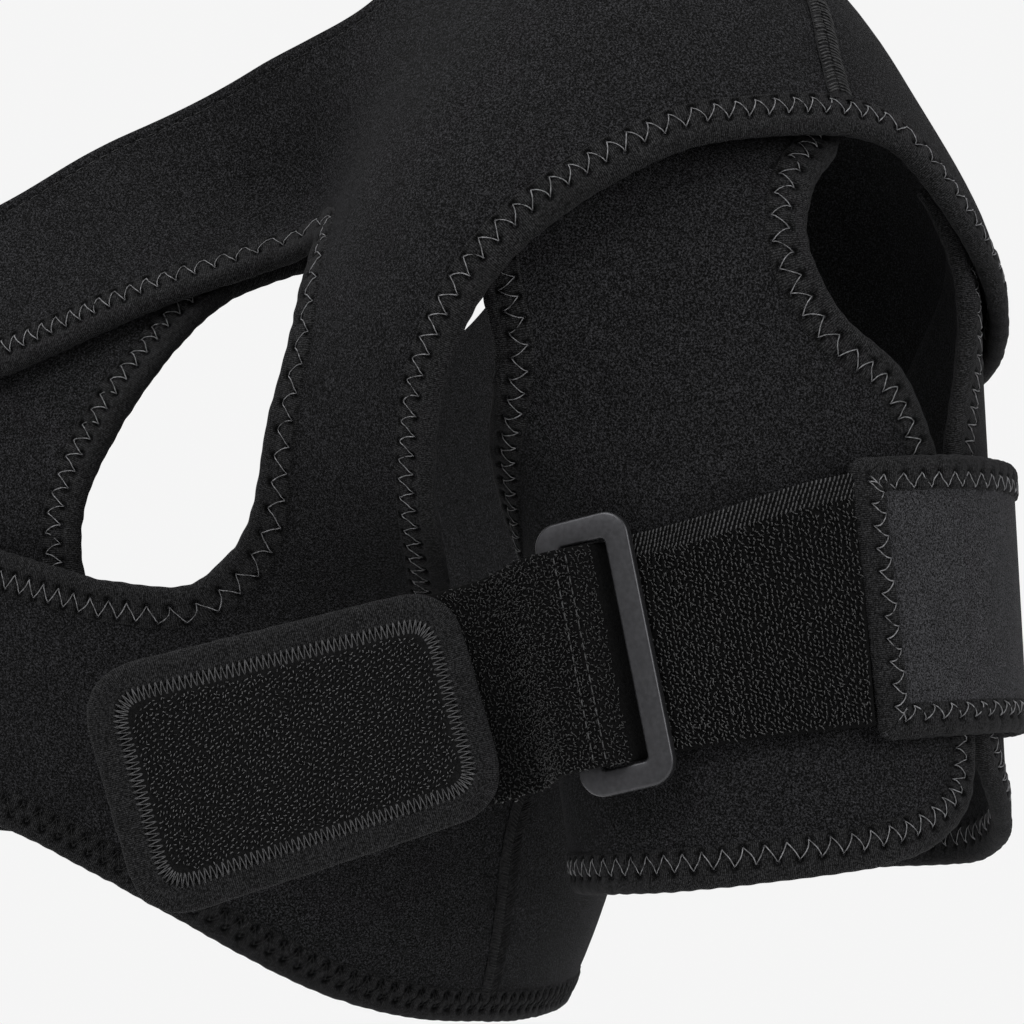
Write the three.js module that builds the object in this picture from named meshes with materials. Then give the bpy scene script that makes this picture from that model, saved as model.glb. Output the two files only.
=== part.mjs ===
// Neoprene shoulder brace for a left shoulder, in its worn form. Millimetres, +Z up.
// The wearer faces -Y and the left arm is at +X. The origin is under the shoulder seam,
// on the inner face of the panels.
import * as THREE from "three";

// Cloth and trim.
const PANEL = 3; // neoprene with a knit face on both sides
const GAP = 0.35; // clearance between sewn layers
const FOLD = 0.8; // binding cloth
const BINDING = 9; // width of a binding on each face
const HEM = 3.5; // turned hem of a plain edge
const TAPE = { half: 3.2, thick: 0.8 }; // flat seam tape

// Height of a layer's middle surface above the body form.
const UNDER = 0.2; // cuff and chest strap
const OVER = 6; // front and back panel, lapped over them
const STRAP = 5.9; // arm strap, on the cuff and its bindings

// Body form that the cloth follows: torso, shoulder yoke, armpit folds, deltoid and arm.
const TORSO = { centre: [-214, 0, -170], radii: [170, 125, 190] };
const YOKE = { from: [-150, 0, -6], to: [2, 0, -47], r0: 44, r1: 44 };
const ARMPIT = { from: [-118, 54, -138], to: [0, 30, -112], r0: 36, r1: 36 };
const DELTOID = { centre: [4, 5, -85], radii: [44, 73, 60] };
const ARM = { top: [25, 8, -98], abduction: 8, length: 260, r0: 56, r1: 42 };
const BLEND = { body: 34, arm: 20 };

// Arm strap, ring and hook tab. The ring sits at a place across the arm (outward, forward).
const BASE = { binding: 7 };
const WEBBING = { width: 49.4, thick: 2 };
const RING = { long: 62, short: 22.6, bar: 5.8, thick: 3, corner: 5, facing: 67, outward: 6.8, forward: 61.5, drop: 76, lean: 0.105 };
const ANCHOR = { width: 44, thick: 1.2 };
const TAB = { length: 86, wide: 57, narrow: 53, corner: 14, thick: 2.4, binding: 6, patch: 1.2, centre: [-3, -105, -193] };
const TAB_RISE = 15.6; // degrees, towards the ring
const TAB_SWING = 9; // degrees, free end away from the body
const FACING = 46; // degrees from the front towards the left arm, the way the tab faces

const at = (x, y, z) => ({ x, y, z });
const arm = (turn, drop) => ({ turn, drop });

// Front panel outline, going round from the neck end of the shoulder seam.
const SEAM = [at(-24, 0, 6), at(0, 1, 0), at(30, 4, -9), at(50, 5, -22), at(61, -1, -38), at(70, -5, -55)];
const NECK_FRONT = [
  at(-24, 0, 6), at(-28, -26, -4), at(-38, -47, -18), at(-79, -51, -32), at(-110, -68, -48),
  at(-131, -92, -66), at(-175, -112, -86), at(-220, -121, -104), at(-262, -117, -118),
];
const END_FRONT = [at(-262, -117, -118), at(-268, -116, -156), at(-262, -117, -198)];
const HEM_FRONT = [
  at(-262, -117, -198), at(-215, -123, -200), at(-160, -117, -206), at(-115, -104, -216), at(-95, -88, -228),
  at(-81, -72, -240), at(-66, -40, -258), at(-62, -21, -263), at(-60, 7, -266),
];
const SIDE = [at(-60, 7, -266), at(-49, 2, -238), at(-44, 0, -223), at(-41, 3, -196)];
const ARMHOLE_FRONT = [
  at(-41, 3, -196), at(-40, -13, -194), at(-26, -38, -178), at(-6, -58, -153), at(6, -73, -131), at(16, -77, -107),
  at(30, -70, -83), at(53, -42, -60), at(64, -23, -56), at(70, -5, -55),
];

// Long opening of the front panel, in the same order as the edges outside it.
const OPENING_TOP = [at(-62, -62, -80), at(-78, -76, -88), at(-115, -104, -107), at(-155, -118, -119), at(-195, -124, -127)];
const OPENING_APEX = [at(-195, -124, -127), at(-202, -125, -130), at(-195, -124, -133)];
const OPENING_LOW = [at(-195, -124, -133), at(-155, -118, -139), at(-108, -108, -151), at(-85, -96, -158)];
const OPENING_TURN = [at(-85, -96, -158), at(-66, -84, -159), at(-53, -80, -150)];
const OPENING_SIDE = [at(-53, -80, -150), at(-46, -80, -140), at(-39, -81, -119), at(-36, -77, -100), at(-41, -67, -84)];
const OPENING_CORNER = [at(-41, -67, -84), at(-48, -59, -76), at(-62, -62, -80)];

// Back panel: a plain sash from the shoulder to the far side.
const ARMHOLE_BACK = [
  at(70, -5, -55), at(74, 10, -58), at(80, 24, -76), at(78, 42, -92), at(65, 58, -104), at(45, 70, -112),
  at(22, 74, -122), at(0, 66, -140), at(-25, 43, -173), at(-40, 19, -194), at(-41, 3, -196),
];
const HEM_BACK = [at(-60, 7, -266), at(-68, 45, -269), at(-95, 82, -268), at(-140, 109, -265), at(-235, 123, -262)];
const END_BACK = [at(-235, 123, -262), at(-240, 125, -217), at(-236, 125, -160), at(-222, 120, -104)];
const NECK_BACK = [
  at(-222, 120, -104), at(-175, 112, -84), at(-140, 98, -67), at(-104, 76, -49), at(-66, 54, -28), at(-33, 33, -5),
  at(-24, 0, 6),
];
const SPINE_BACK = [at(52, 22, -42), at(20, 52, -66), at(-40, 68, -110), at(-90, 92, -156), at(-150, 115, -182), at(-210, 124, -190)];

// Chest strap: hollowed front end under the front panel, then round the far side to the back.
const STRAP_TOP = [
  at(-52, -46, -64), at(-64, -48, -50), at(-94, -62, -56), at(-125, -90, -78), at(-175, -112, -103), at(-262, -115, -130),
  at(-345, -78, -152), at(-382, 0, -165), at(-340, 80, -176), at(-262, 118, -182), at(-205, 124, -182),
];
const STRAP_BACK_END = [at(-205, 124, -182), at(-203, 124, -200), at(-202, 124, -217)];
const STRAP_BACK_REST = [at(-202, 124, -217), at(-203, 123, -234), at(-205, 122, -252)];
const STRAP_LOW = [
  at(-205, 122, -252), at(-262, 116, -252), at(-340, 80, -246), at(-382, 0, -234), at(-345, -78, -212),
  at(-262, -115, -190), at(-205, -122, -182), at(-160, -116, -181), at(-110, -102, -184), at(-86, -90, -182),
];
const STRAP_END = [
  at(-86, -90, -182), at(-94, -96, -155), at(-93, -97, -140), at(-86, -91, -119), at(-82, -85, -108),
  at(-74, -64, -86), at(-52, -46, -64),
];
const SPINE_STRAP = [
  at(-74, -54, -66), at(-100, -76, -84), at(-120, -101, -118), at(-136, -108, -146), at(-180, -117, -148),
  at(-262, -116, -160), at(-345, -78, -182), at(-382, 0, -200), at(-340, 80, -211), at(-262, 118, -217),
  at(-226, 123, -217),
];

// Arm cuff: angle round the arm from its outer side towards the front, and distance down the arm.
const CUFF_FRONT_TOP = [
  arm(4, -54), arm(22, -53), arm(46, -47), arm(72, -38), arm(86, -32), arm(96, -24),
];
const CUFF_ARMPIT = [
  arm(96, -24), arm(96, -8), arm(97, 4), arm(102, 14), arm(110, 23), arm(124, 36), arm(150, 52), arm(180, 59), arm(205, 58),
  arm(228, 53), arm(248, 44), arm(261, 30), arm(268, 14),
];
const CUFF_BACK_TOP = [arm(268, 14), arm(280, 2), arm(300, -11), arm(318, -22), arm(338, -26)];
const CUFF_BACK_EDGE = [
  arm(338, -26), arm(337, -11), arm(336, 5), arm(345, 24), arm(351, 38), arm(349, 60), arm(348, 100), arm(345, 113),
  arm(335, 122), arm(322, 128),
];
const CUFF_BOTTOM = [
  arm(322, 128), arm(290, 129), arm(250, 128), arm(215, 127), arm(180, 126), arm(145, 127), arm(110, 128), arm(70, 129),
  arm(28, 128),
];
const CUFF_FRONT_EDGE = [
  arm(28, 128), arm(14, 126), arm(3, 122), arm(-5, 116), arm(-9, 104), arm(-7, 70), arm(-5, 48), arm(-1, 38), arm(8, 20),
  arm(24, 6), arm(30, -10), arm(25, -24), arm(12, -34), arm(5, -43), arm(4, -54),
];
const SPINE_CUFF = [
  arm(34, -38), arm(50, -24), arm(62, 8), arm(78, 52), arm(110, 80), arm(150, 92), arm(180, 94), arm(210, 92),
  arm(250, 84), arm(286, 62), arm(306, 24), arm(315, 0),
];

// Arm strap base on the back of the cuff.
const BASE_OUTLINE = [
  { edge: [arm(-112, 70), arm(-112, 41)], count: 2 },
  { edge: [arm(-112, 41), arm(-60, 40), arm(-20, 39), arm(26, 40)], count: 12 },
  { edge: [arm(26, 40), arm(25, 70)], count: 2 },
  { edge: [arm(25, 70), arm(24, 101)], count: 2 },
  { edge: [arm(24, 101), arm(-20, 100), arm(-60, 100), arm(-112, 100)], count: 12 },
  { edge: [arm(-112, 100), arm(-112, 70)], count: 2 },
];
const SPINE_BASE = [arm(-95, 70), arm(-40, 70), arm(10, 70)];

// Places of the webbing and the ring's anchor: on the arm, then across the ring, outward and forward.
const WEBBING_ON_ARM = [
  { turn: 27.5, drop: 70, lift: 5.9, lean: 0, width: 56 },
  { turn: 36, drop: 70.8, lift: 5.6, lean: 0.03, width: 54.5 },
  { turn: 46, drop: 72, lift: 5.1, lean: 0.06, width: 52.5 },
  { turn: 56, drop: 73.3, lift: 4.7, lean: 0.09, width: 50.5 },
];
const WEBBING_IN_RING = [
  { across: 14, rise: -3.4 }, { across: 11.6, rise: -2.95 }, { across: 5.2, rise: -2.95 }, { across: 2.4, rise: -0.7 },
  { across: -2.2, rise: 4.3 }, { across: -4.4, rise: 4.7 }, { across: -12.6, rise: 4.7 },
];
const ANCHOR_IN_RING = [
  { across: -12.4, rise: -2.6 }, { across: -5.4, rise: -2.5 }, { across: -4.5, rise: -1.6 }, { across: -4.5, rise: 1.6 },
  { across: -5.4, rise: 2.5 }, { across: -12.4, rise: 2.5 },
];
const ANCHOR_TAIL = [{ turn: 122, lift: 3.4 }, { turn: 115, lift: 3.3 }, { turn: 108, lift: 3.6 }];
const ANCHOR_RETURN = [{ turn: 108, lift: 6.4 }, { turn: 115, lift: 5.2 }, { turn: 122, lift: 5.1 }];

const vec = (a) => new THREE.Vector3(...a);
const rad = THREE.MathUtils.degToRad;
const clamp = THREE.MathUtils.clamp;

// Distance fields of the form.
function ellipsoid(p, { centre, radii }) {
  const [a, b, c] = [0, 1, 2].map((i) => (p.getComponent(i) - centre[i]) / radii[i]);
  const near = Math.hypot(a, b, c);
  return (near * (near - 1)) / Math.max(Math.hypot(a / radii[0], b / radii[1], c / radii[2]), 1e-9);
}

function capsule(p, { from, to, r0, r1 }) {
  const start = vec(from);
  const run = vec(to).sub(start);
  const rel = p.clone().sub(start);
  const t = clamp(rel.dot(run) / run.lengthSq(), 0, 1);
  return rel.addScaledVector(run, -t).length() - (r0 + (r1 - r0) * t);
}

function blend(a, b, size) {
  const h = clamp(0.5 + (0.5 * (b - a)) / size, 0, 1);
  return b + (a - b) * h - size * h * (1 - h);
}

const ARM_DOWN = new THREE.Vector3(Math.sin(rad(ARM.abduction)), 0, -Math.cos(rad(ARM.abduction)));
const ARM_OUT = new THREE.Vector3(-ARM_DOWN.z, 0, ARM_DOWN.x);
const FRONT = new THREE.Vector3(0, -1, 0);
const ARM_TOP = vec(ARM.top);
const ARM_END = ARM_TOP.clone().addScaledVector(ARM_DOWN, ARM.length).toArray();
const ARM_LINE = { from: ARM.top, to: ARM_END, r0: ARM.r0, r1: ARM.r1 };

const armForm = (p) => blend(ellipsoid(p, DELTOID), capsule(p, ARM_LINE), BLEND.arm);

function bodyForm(p) {
  const folded = new THREE.Vector3(p.x, Math.abs(p.y), p.z);
  const trunk = blend(ellipsoid(p, TORSO), capsule(p, YOKE), BLEND.body);
  return blend(blend(trunk, capsule(folded, ARMPIT), BLEND.body), armForm(p), BLEND.body);
}

function slope(form, p) {
  const n = new THREE.Vector3();
  for (let i = 0; i < 3; i += 1) {
    const up = p.clone().setComponent(i, p.getComponent(i) + 0.5);
    const low = p.clone().setComponent(i, p.getComponent(i) - 0.5);
    n.setComponent(i, form(up) - form(low));
  }
  return n.normalize();
}

// A layer at one height above a form: it seats points and gives the way out of the cloth.
function layer(form, height) {
  const normal = (p) => slope(form, p);
  const seat = (point) => {
    const p = point.clone();
    for (let i = 0; i < 14; i += 1) p.addScaledVector(normal(p), height - form(p));
    return p;
  };
  return { form, height, normal, seat };
}
const FLAT = { seat: (p) => p.clone(), normal: () => new THREE.Vector3(0, 0, 1) };

const acrossArm = (outward, forward, drop) => {
  const p = ARM_TOP.clone().addScaledVector(ARM_DOWN, drop);
  return p.addScaledVector(ARM_OUT, outward).addScaledVector(FRONT, forward);
};

// Point at an angle round the arm, a distance down it and a height above its form.
function onArm(turn, drop, height) {
  const place = (r) => acrossArm(r * Math.cos(rad(turn)), r * Math.sin(rad(turn)), drop);
  let [low, high] = [4, 110];
  for (let i = 0; i < 40; i += 1) {
    const middle = (low + high) / 2;
    if (armForm(place(middle)) < height) low = middle;
    else high = middle;
  }
  return place(low);
}

// Evenly spaced, seated points along a table of places.
function trace(surface, table, count) {
  const place = (r) => ("turn" in r ? onArm(r.turn, r.drop, surface.height) : surface.seat(new THREE.Vector3(r.x, r.y, r.z)));
  const curve = new THREE.CatmullRomCurve3(table.map(place), false, "centripetal");
  curve.arcLengthDivisions = 400;
  return curve.getSpacedPoints(count).map((p) => surface.seat(p));
}

// Points of a row moved into the cloth by a binding's width; side is 1 for an outline, -1 for a hole.
function inset(surface, loop, width, side) {
  const size = loop.length;
  return loop.map((p, k) => {
    const n = surface.normal(p);
    const inward = (a, b) => n.clone().cross(b.clone().sub(a)).normalize().multiplyScalar(side);
    const before = inward(loop[(k + size - 1) % size], p);
    const after = inward(p, loop[(k + 1) % size]);
    const way = before.clone().add(after).normalize();
    const reach = Array.isArray(width) ? width[k] : width;
    return surface.seat(p.clone().addScaledVector(way, reach / Math.max(way.dot(before), 0.75)));
  });
}

const between = (surface, a, b, share) => a.map((p, k) => surface.seat(p.clone().lerp(b[k], share)));

// Closed body from triangles, turned so that its faces point out.
function solid(triangles) {
  const apart = (a, b) => a.distanceTo(b) > 2e-3;
  const kept = triangles.filter(([a, b, c]) => apart(a, b) && apart(b, c) && apart(c, a));
  let volume = 0;
  for (const [a, b, c] of kept) volume += a.dot(b.clone().cross(c));
  return new THREE.BufferGeometry().setFromPoints(kept.flatMap(([a, b, c]) => (volume > 0 ? [a, b, c] : [a, c, b])));
}

const quad = (a, b, c, d) => [[a, b, c], [a, c, d]];

// Wall of even thickness on rows of middle points. A ring is closed along its rows;
// a spine is a ring whose last row folds onto itself.
function wall(surface, rows, thick, kind) {
  const lift = (side) => rows.map((row) => row.map((p) => p.clone().addScaledVector(surface.normal(p), (side * thick) / 2)));
  const [out, inn] = [lift(1), lift(-1)];
  const last = rows.length - 1;
  const size = rows[0].length;
  const faces = [];
  for (let k = 0; k < (kind === "strip" ? size - 1 : size); k += 1) {
    const n = (k + 1) % size;
    for (let j = 0; j < last; j += 1) {
      faces.push(...quad(out[j][k], out[j + 1][k], out[j + 1][n], out[j][n]));
      faces.push(...quad(inn[j + 1][k], inn[j][k], inn[j][n], inn[j + 1][n]));
    }
    faces.push(...quad(out[0][k], out[0][n], inn[0][n], inn[0][k]));
    if (kind !== "spine") faces.push(...quad(out[last][k], inn[last][k], inn[last][n], out[last][n]));
  }
  for (let j = 0; j < last && kind === "strip"; j += 1) {
    faces.push(...quad(out[j][0], inn[j][0], inn[j + 1][0], out[j + 1][0]));
    faces.push(...quad(out[j][size - 1], out[j + 1][size - 1], inn[j + 1][size - 1], inn[j][size - 1]));
  }
  return solid(faces);
}

// Body lofted through sections of equal point counts; caps lists the quads that close its ends.
function loft(sections, caps, closed) {
  const size = sections[0].length;
  const faces = [];
  for (let k = 0; k < sections.length - (closed ? 0 : 1); k += 1) {
    const [a, b] = [sections[k], sections[(k + 1) % sections.length]];
    for (let i = 0; i < size; i += 1) faces.push(...quad(a[i], a[(i + 1) % size], b[(i + 1) % size], b[i]));
  }
  const [first, end] = [sections[0], sections[sections.length - 1]];
  for (const [p, q, r, s] of closed ? [] : caps) {
    faces.push(...quad(first[s], first[r], first[q], first[p]));
    faces.push(...quad(end[p], end[q], end[r], end[s]));
  }
  return solid(faces);
}

// Folded strip over a cloth edge, from a lip on one face round the edge to a lip on the other.
function binding(surface, edge, inner, thick, closed = false) {
  const half = thick / 2 + GAP;
  const size = edge.length;
  const sections = edge.map((p, k) => {
    const n = surface.normal(p);
    const m = surface.normal(inner[k]);
    const before = edge[closed ? (k + size - 1) % size : Math.max(k - 1, 0)];
    const after = edge[closed ? (k + 1) % size : Math.min(k + 1, size - 1)];
    const away = n.clone().cross(after.clone().sub(before)).normalize();
    if (away.dot(p.clone().sub(inner[k])) < 0) away.negate();
    const lip = (d) => inner[k].clone().addScaledVector(m, d);
    const turn = (d, reach) => p.clone().addScaledVector(n, d).addScaledVector(away, reach);
    return [
      lip(half + FOLD), turn(half + FOLD, GAP + FOLD), turn(-half - FOLD, GAP + FOLD), lip(-half - FOLD),
      lip(-half), turn(-half, GAP), turn(half, GAP), lip(half),
    ];
  });
  return loft(sections, [[0, 1, 6, 7], [1, 2, 5, 6], [2, 3, 4, 5]], closed);
}

// Flat strip along a path of stations with their middle, width direction and width.
function ribbon(stations, thick) {
  const sections = stations.map(({ p, side, width }, k) => {
    const before = stations[Math.max(k - 1, 0)].p;
    const after = stations[Math.min(k + 1, stations.length - 1)].p;
    const n = after.clone().sub(before).cross(side).normalize();
    const corner = (w, h) => p.clone().addScaledVector(side, (w * width) / 2).addScaledVector(n, (h * thick) / 2);
    return [corner(-1, -1), corner(1, -1), corner(1, 1), corner(-1, 1)];
  });
  return loft(sections, [[0, 1, 2, 3]], false);
}

const cloth = (color, roughness) => new THREE.MeshStandardMaterial({ color, roughness, metalness: 0 });
const NEOPRENE_FACE = cloth(0x222226, 0.95);
const BINDING_KNIT = cloth(0x2b2b30, 0.9);
const LOOP_PILE = cloth(0x1c1c1f, 1);
const HOOK_FACE = cloth(0x29292d, 0.8);
const RING_METAL = new THREE.MeshStandardMaterial({ color: 0x3c3c3e, roughness: 0.4, metalness: 0.7 });

const brace = new THREE.Group();
brace.position.z = PANEL / 2 - OVER;

function add(name, geometry, material, parent = brace) {
  const mesh = new THREE.Mesh(geometry, material);
  mesh.name = name;
  parent.add(mesh);
  return mesh;
}

// Loop of edges, each with its own number of steps, and the station each edge starts at.
function outline(surface, edges) {
  const loop = [];
  const starts = [];
  for (const { edge, count, shift = 0 } of edges) {
    starts.push(loop.length);
    const points = trace(surface, edge, count);
    for (const p of points.slice(0, -1)) loop.push(shift ? surface.seat(p.clone().addScaledVector(FRONT, shift)) : p);
  }
  return { loop, starts: [...starts, loop.length] };
}

// Nearest place on the spine for each point of one side, never passing over a place.
const LOOK_AHEAD = 3;
function bonesAlong(side, spine) {
  const end = spine.length - 1;
  const picked = [0];
  for (let k = 1; k < side.length; k += 1) {
    const from = picked[k - 1];
    const spans = spine.slice(from, from + LOOK_AHEAD).map((p) => p.distanceTo(side[k]));
    const step = from + Math.min(spans.indexOf(Math.min(...spans)), 1);
    picked.push(Math.min(Math.max(step, end - (side.length - 1 - k)), end));
  }
  return picked;
}

// Panel that closes onto a spine: turn is the edge at which the way back begins.
function panel(surface, edges, turn, spineTable, options) {
  const { loop, starts } = outline(surface, edges);
  const { width, thick, rows, bones } = options;
  const spine = trace(surface, spineTable, bones);
  const half = starts[turn];
  const there = bonesAlong(loop.slice(0, half + 1), spine);
  const back = bonesAlong([loop[0], ...loop.slice(half).reverse()], spine);
  const ends = loop.map((p, k) => spine[k <= half ? there[k] : back[loop.length - k]]);
  const reach = edges.flatMap(({ count, lip = width }) => new Array(count).fill(lip));
  const lip = inset(surface, loop, reach, 1);
  const grid = [loop, lip];
  for (let j = 1; j < rows; j += 1) grid.push(between(surface, lip, ends, j / rows));
  grid.push(ends);
  const run = (row, from, to) => [...row, row[0]].slice(starts[from], starts[to] + 1);
  const bind = (from, to) => binding(surface, run(loop, from, to), run(lip, from, to), thick);
  return { geometry: wall(surface, grid, thick, "spine"), loop, lip, starts, run, bind };
}

const bodyLayer = layer(bodyForm, OVER);
const strapLayer = layer(bodyForm, UNDER);
const cuffLayer = layer(armForm, UNDER);
const baseLayer = layer(armForm, STRAP);

// Front panel: rings of cloth between its long opening and its outline.
// The neck end of the shoulder seam lies opposite a station within the opening's corner.
const SEAM_STEPS = 8;
const CORNER_START = 8;
const SIDE_STEPS = 6;
const HALF_GAP = GAP;
const frontOutside = outline(bodyLayer, [
  { edge: NECK_FRONT, count: 19 },
  { edge: END_FRONT, count: 5 },
  { edge: HEM_FRONT, count: 15 },
  { edge: SIDE, count: SIDE_STEPS, shift: HALF_GAP },
  { edge: ARMHOLE_FRONT, count: 15, shift: HALF_GAP },
  { edge: [...SEAM].reverse(), count: SEAM_STEPS, shift: HALF_GAP },
]);
const openingEdges = outline(bodyLayer, [
  { edge: OPENING_CORNER, count: 13 },
  { edge: OPENING_TOP, count: 14 },
  { edge: OPENING_APEX, count: 5 },
  { edge: OPENING_LOW, count: 15 },
  { edge: OPENING_TURN, count: 6 },
  { edge: OPENING_SIDE, count: 15 },
]).loop;
const openingLoop = [...openingEdges.slice(CORNER_START), ...openingEdges.slice(0, CORNER_START)];
const openingLip = inset(bodyLayer, openingLoop, BINDING, -1);
const outerLip = inset(bodyLayer, frontOutside.loop, BINDING, 1);
const frontMiddle = [0.33, 0.67].map((share) => between(bodyLayer, openingLip, outerLip, share));
const frontRows = [openingLoop, openingLip, ...frontMiddle, outerLip, frontOutside.loop];
const frontRun = (row, edge) => [...row, row[0]].slice(frontOutside.starts[edge], frontOutside.starts[edge + 1] + 1).reverse();
const bindFront = (edge) => binding(bodyLayer, frontRun(frontOutside.loop, edge), frontRun(outerLip, edge), PANEL);
add("body_front", wall(bodyLayer, frontRows, PANEL, "ring"), NEOPRENE_FACE);
add("opening_binding", binding(bodyLayer, openingLoop, openingLip, PANEL, true), BINDING_KNIT);
add("hem_binding_front", bindFront(2), BINDING_KNIT);
add("armhole_binding_front", bindFront(4), BINDING_KNIT);

// Back panel.
const backPanel = panel(
  bodyLayer,
  [
    { edge: ARMHOLE_BACK, count: 17, shift: -HALF_GAP },
    { edge: [...SIDE].reverse(), count: SIDE_STEPS, shift: -HALF_GAP },
    { edge: HEM_BACK, count: 12, shift: -HALF_GAP },
    { edge: END_BACK, count: 5 },
    { edge: NECK_BACK, count: 18 },
    { edge: SEAM, count: SEAM_STEPS, shift: -HALF_GAP },
  ],
  3,
  SPINE_BACK,
  { width: BINDING, thick: PANEL, rows: 3, bones: 16 },
);
add("body_back", backPanel.geometry, NEOPRENE_FACE);
add("armhole_binding_back", backPanel.bind(0, 1), BINDING_KNIT);
add("hem_binding_back", backPanel.bind(2, 3), BINDING_KNIT);

// Seam tapes over the joints of front and back panel.
function tape(front, frontLip, back, backLip) {
  const surface = layer(bodyForm, OVER + PANEL / 2 + GAP + TAPE.thick / 2);
  const reach = TAPE.half / BINDING;
  const rows = [
    front.map((p, k) => surface.seat(p.clone().lerp(frontLip[k], reach))),
    front.map((p, k) => surface.seat(p.clone().lerp(back[k], 0.5))),
    back.map((p, k) => surface.seat(p.clone().lerp(backLip[k], reach))),
  ];
  return wall(surface, rows, TAPE.thick, "strip");
}
const inner = (row) => row.slice(1, -1);
const backSeam = (edge) => [backPanel.run(backPanel.loop, edge, edge + 1), backPanel.run(backPanel.lip, edge, edge + 1)];
const frontSeam = (edge) => [frontRun(frontOutside.loop, edge), frontRun(outerLip, edge)];
const shoulderRows = [...frontSeam(5), ...backSeam(5)].map(inner);
const sideRows = [...frontSeam(3), ...backSeam(1)].map(inner);
add("shoulder_seam", tape(...shoulderRows), BINDING_KNIT);
add("side_seam", tape(...sideRows), BINDING_KNIT);

// Chest strap.
const chest = panel(
  strapLayer,
  [
    { edge: STRAP_TOP, count: 32, lip: HEM },
    { edge: STRAP_BACK_END, count: 2, lip: HEM },
    { edge: STRAP_BACK_REST, count: 2, lip: HEM },
    { edge: STRAP_LOW, count: 29, lip: HEM },
    { edge: STRAP_END, count: 11 },
  ],
  2,
  SPINE_STRAP,
  { width: BINDING, thick: PANEL, rows: 2, bones: 28 },
);
add("chest_strap", chest.geometry, NEOPRENE_FACE);
add("strap_end_binding", chest.bind(4, 5), BINDING_KNIT);

// Arm cuff, open at the outer side.
const cuff = panel(
  cuffLayer,
  [
    { edge: CUFF_FRONT_TOP, count: 8, lip: HEM },
    { edge: CUFF_ARMPIT, count: 22 },
    { edge: CUFF_BACK_TOP, count: 6, lip: HEM },
    { edge: CUFF_BACK_EDGE, count: 15 },
    { edge: CUFF_BOTTOM, count: 20 },
    { edge: CUFF_FRONT_EDGE, count: 19 },
  ],
  3,
  SPINE_CUFF,
  { width: BINDING, thick: PANEL, rows: 2, bones: 28 },
);
add("arm_cuff", cuff.geometry, NEOPRENE_FACE);
add("cuff_top_binding", cuff.bind(1, 2), BINDING_KNIT);
add("cuff_edge_binding", cuff.bind(3, 6), BINDING_KNIT);

// Arm strap base with its binding on three sides.
const base = panel(baseLayer, BASE_OUTLINE, 3, SPINE_BASE, { width: BASE.binding, thick: PANEL, rows: 1, bones: 10 });
add("strap_base", base.geometry, NEOPRENE_FACE);
add("strap_base_binding", base.bind(1, 5), BINDING_KNIT);

// Ring, lying over the arm and leaning with the strap.
const facing = rad(RING.facing);
const ringOut = ARM_OUT.clone().multiplyScalar(Math.cos(facing)).addScaledVector(FRONT, Math.sin(facing));
const ringSide = ARM_OUT.clone().multiplyScalar(Math.sin(facing)).addScaledVector(FRONT, -Math.cos(facing));
const ringDown = ARM_DOWN.clone().addScaledVector(ringSide, RING.lean).normalize();
const ringAcross = ringDown.clone().cross(ringOut).negate().normalize();
if (ringAcross.dot(ringSide) < 0) ringAcross.negate();
const ringCentre = acrossArm(RING.outward, RING.forward, RING.drop);
const inRing = ({ across, rise }) => ringCentre.clone().addScaledVector(ringAcross, across).addScaledVector(ringOut, rise);

function roundedRect(path, long, short, corner) {
  const [x, y] = [long / 2 - corner, short / 2 - corner];
  path.moveTo(long / 2, 0);
  path.absarc(x, y, corner, 0, Math.PI / 2);
  path.absarc(-x, y, corner, Math.PI / 2, Math.PI);
  path.absarc(-x, -y, corner, Math.PI, 1.5 * Math.PI);
  path.absarc(x, -y, corner, 1.5 * Math.PI, 2 * Math.PI);
  return path;
}
const BEVEL = 0.5;
const ringShape = roundedRect(new THREE.Shape(), RING.short - 2 * BEVEL, RING.long - 2 * BEVEL, RING.corner);
const hole = { short: RING.short - 2 * RING.bar, long: RING.long - 2 * RING.bar, corner: 1.6 };
ringShape.holes.push(roundedRect(new THREE.Path(), hole.short + 2 * BEVEL, hole.long + 2 * BEVEL, hole.corner));
const ringBody = new THREE.ExtrudeGeometry(ringShape, {
  depth: RING.thick - 2 * BEVEL,
  bevelSize: BEVEL,
  bevelThickness: BEVEL,
  bevelSegments: 1,
  curveSegments: 5,
});
ringBody.translate(0, 0, BEVEL - RING.thick / 2);
const ring = add("ring", ringBody, RING_METAL);
ring.position.copy(ringCentre);
ring.quaternion.setFromRotationMatrix(new THREE.Matrix4().makeBasis(ringAcross, ringDown.clone().negate(), ringOut));

// Hook tab on the strap's free end.
const viewSide = new THREE.Vector3(Math.cos(rad(FACING)), Math.sin(rad(FACING)), 0);
const viewOut = new THREE.Vector3(Math.sin(rad(FACING)), -Math.cos(rad(FACING)), 0);
const tabAlong = viewSide.clone().multiplyScalar(Math.cos(rad(TAB_RISE)) * Math.cos(rad(TAB_SWING)));
tabAlong.addScaledVector(viewOut, -Math.sin(rad(TAB_SWING)));
tabAlong.add(new THREE.Vector3(0, 0, Math.sin(rad(TAB_RISE)))).normalize();
const tabOut = viewOut.clone().addScaledVector(tabAlong, -viewOut.dot(tabAlong)).normalize();
const tabUp = tabOut.clone().cross(tabAlong);
const tab = new THREE.Group();
tab.position.copy(vec(TAB.centre));
tab.quaternion.setFromRotationMatrix(new THREE.Matrix4().makeBasis(tabAlong, tabUp, tabOut));
brace.add(tab);
const inTab = (x, y, z) => vec(TAB.centre).addScaledVector(tabAlong, x).addScaledVector(tabUp, y).addScaledVector(tabOut, z);

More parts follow.
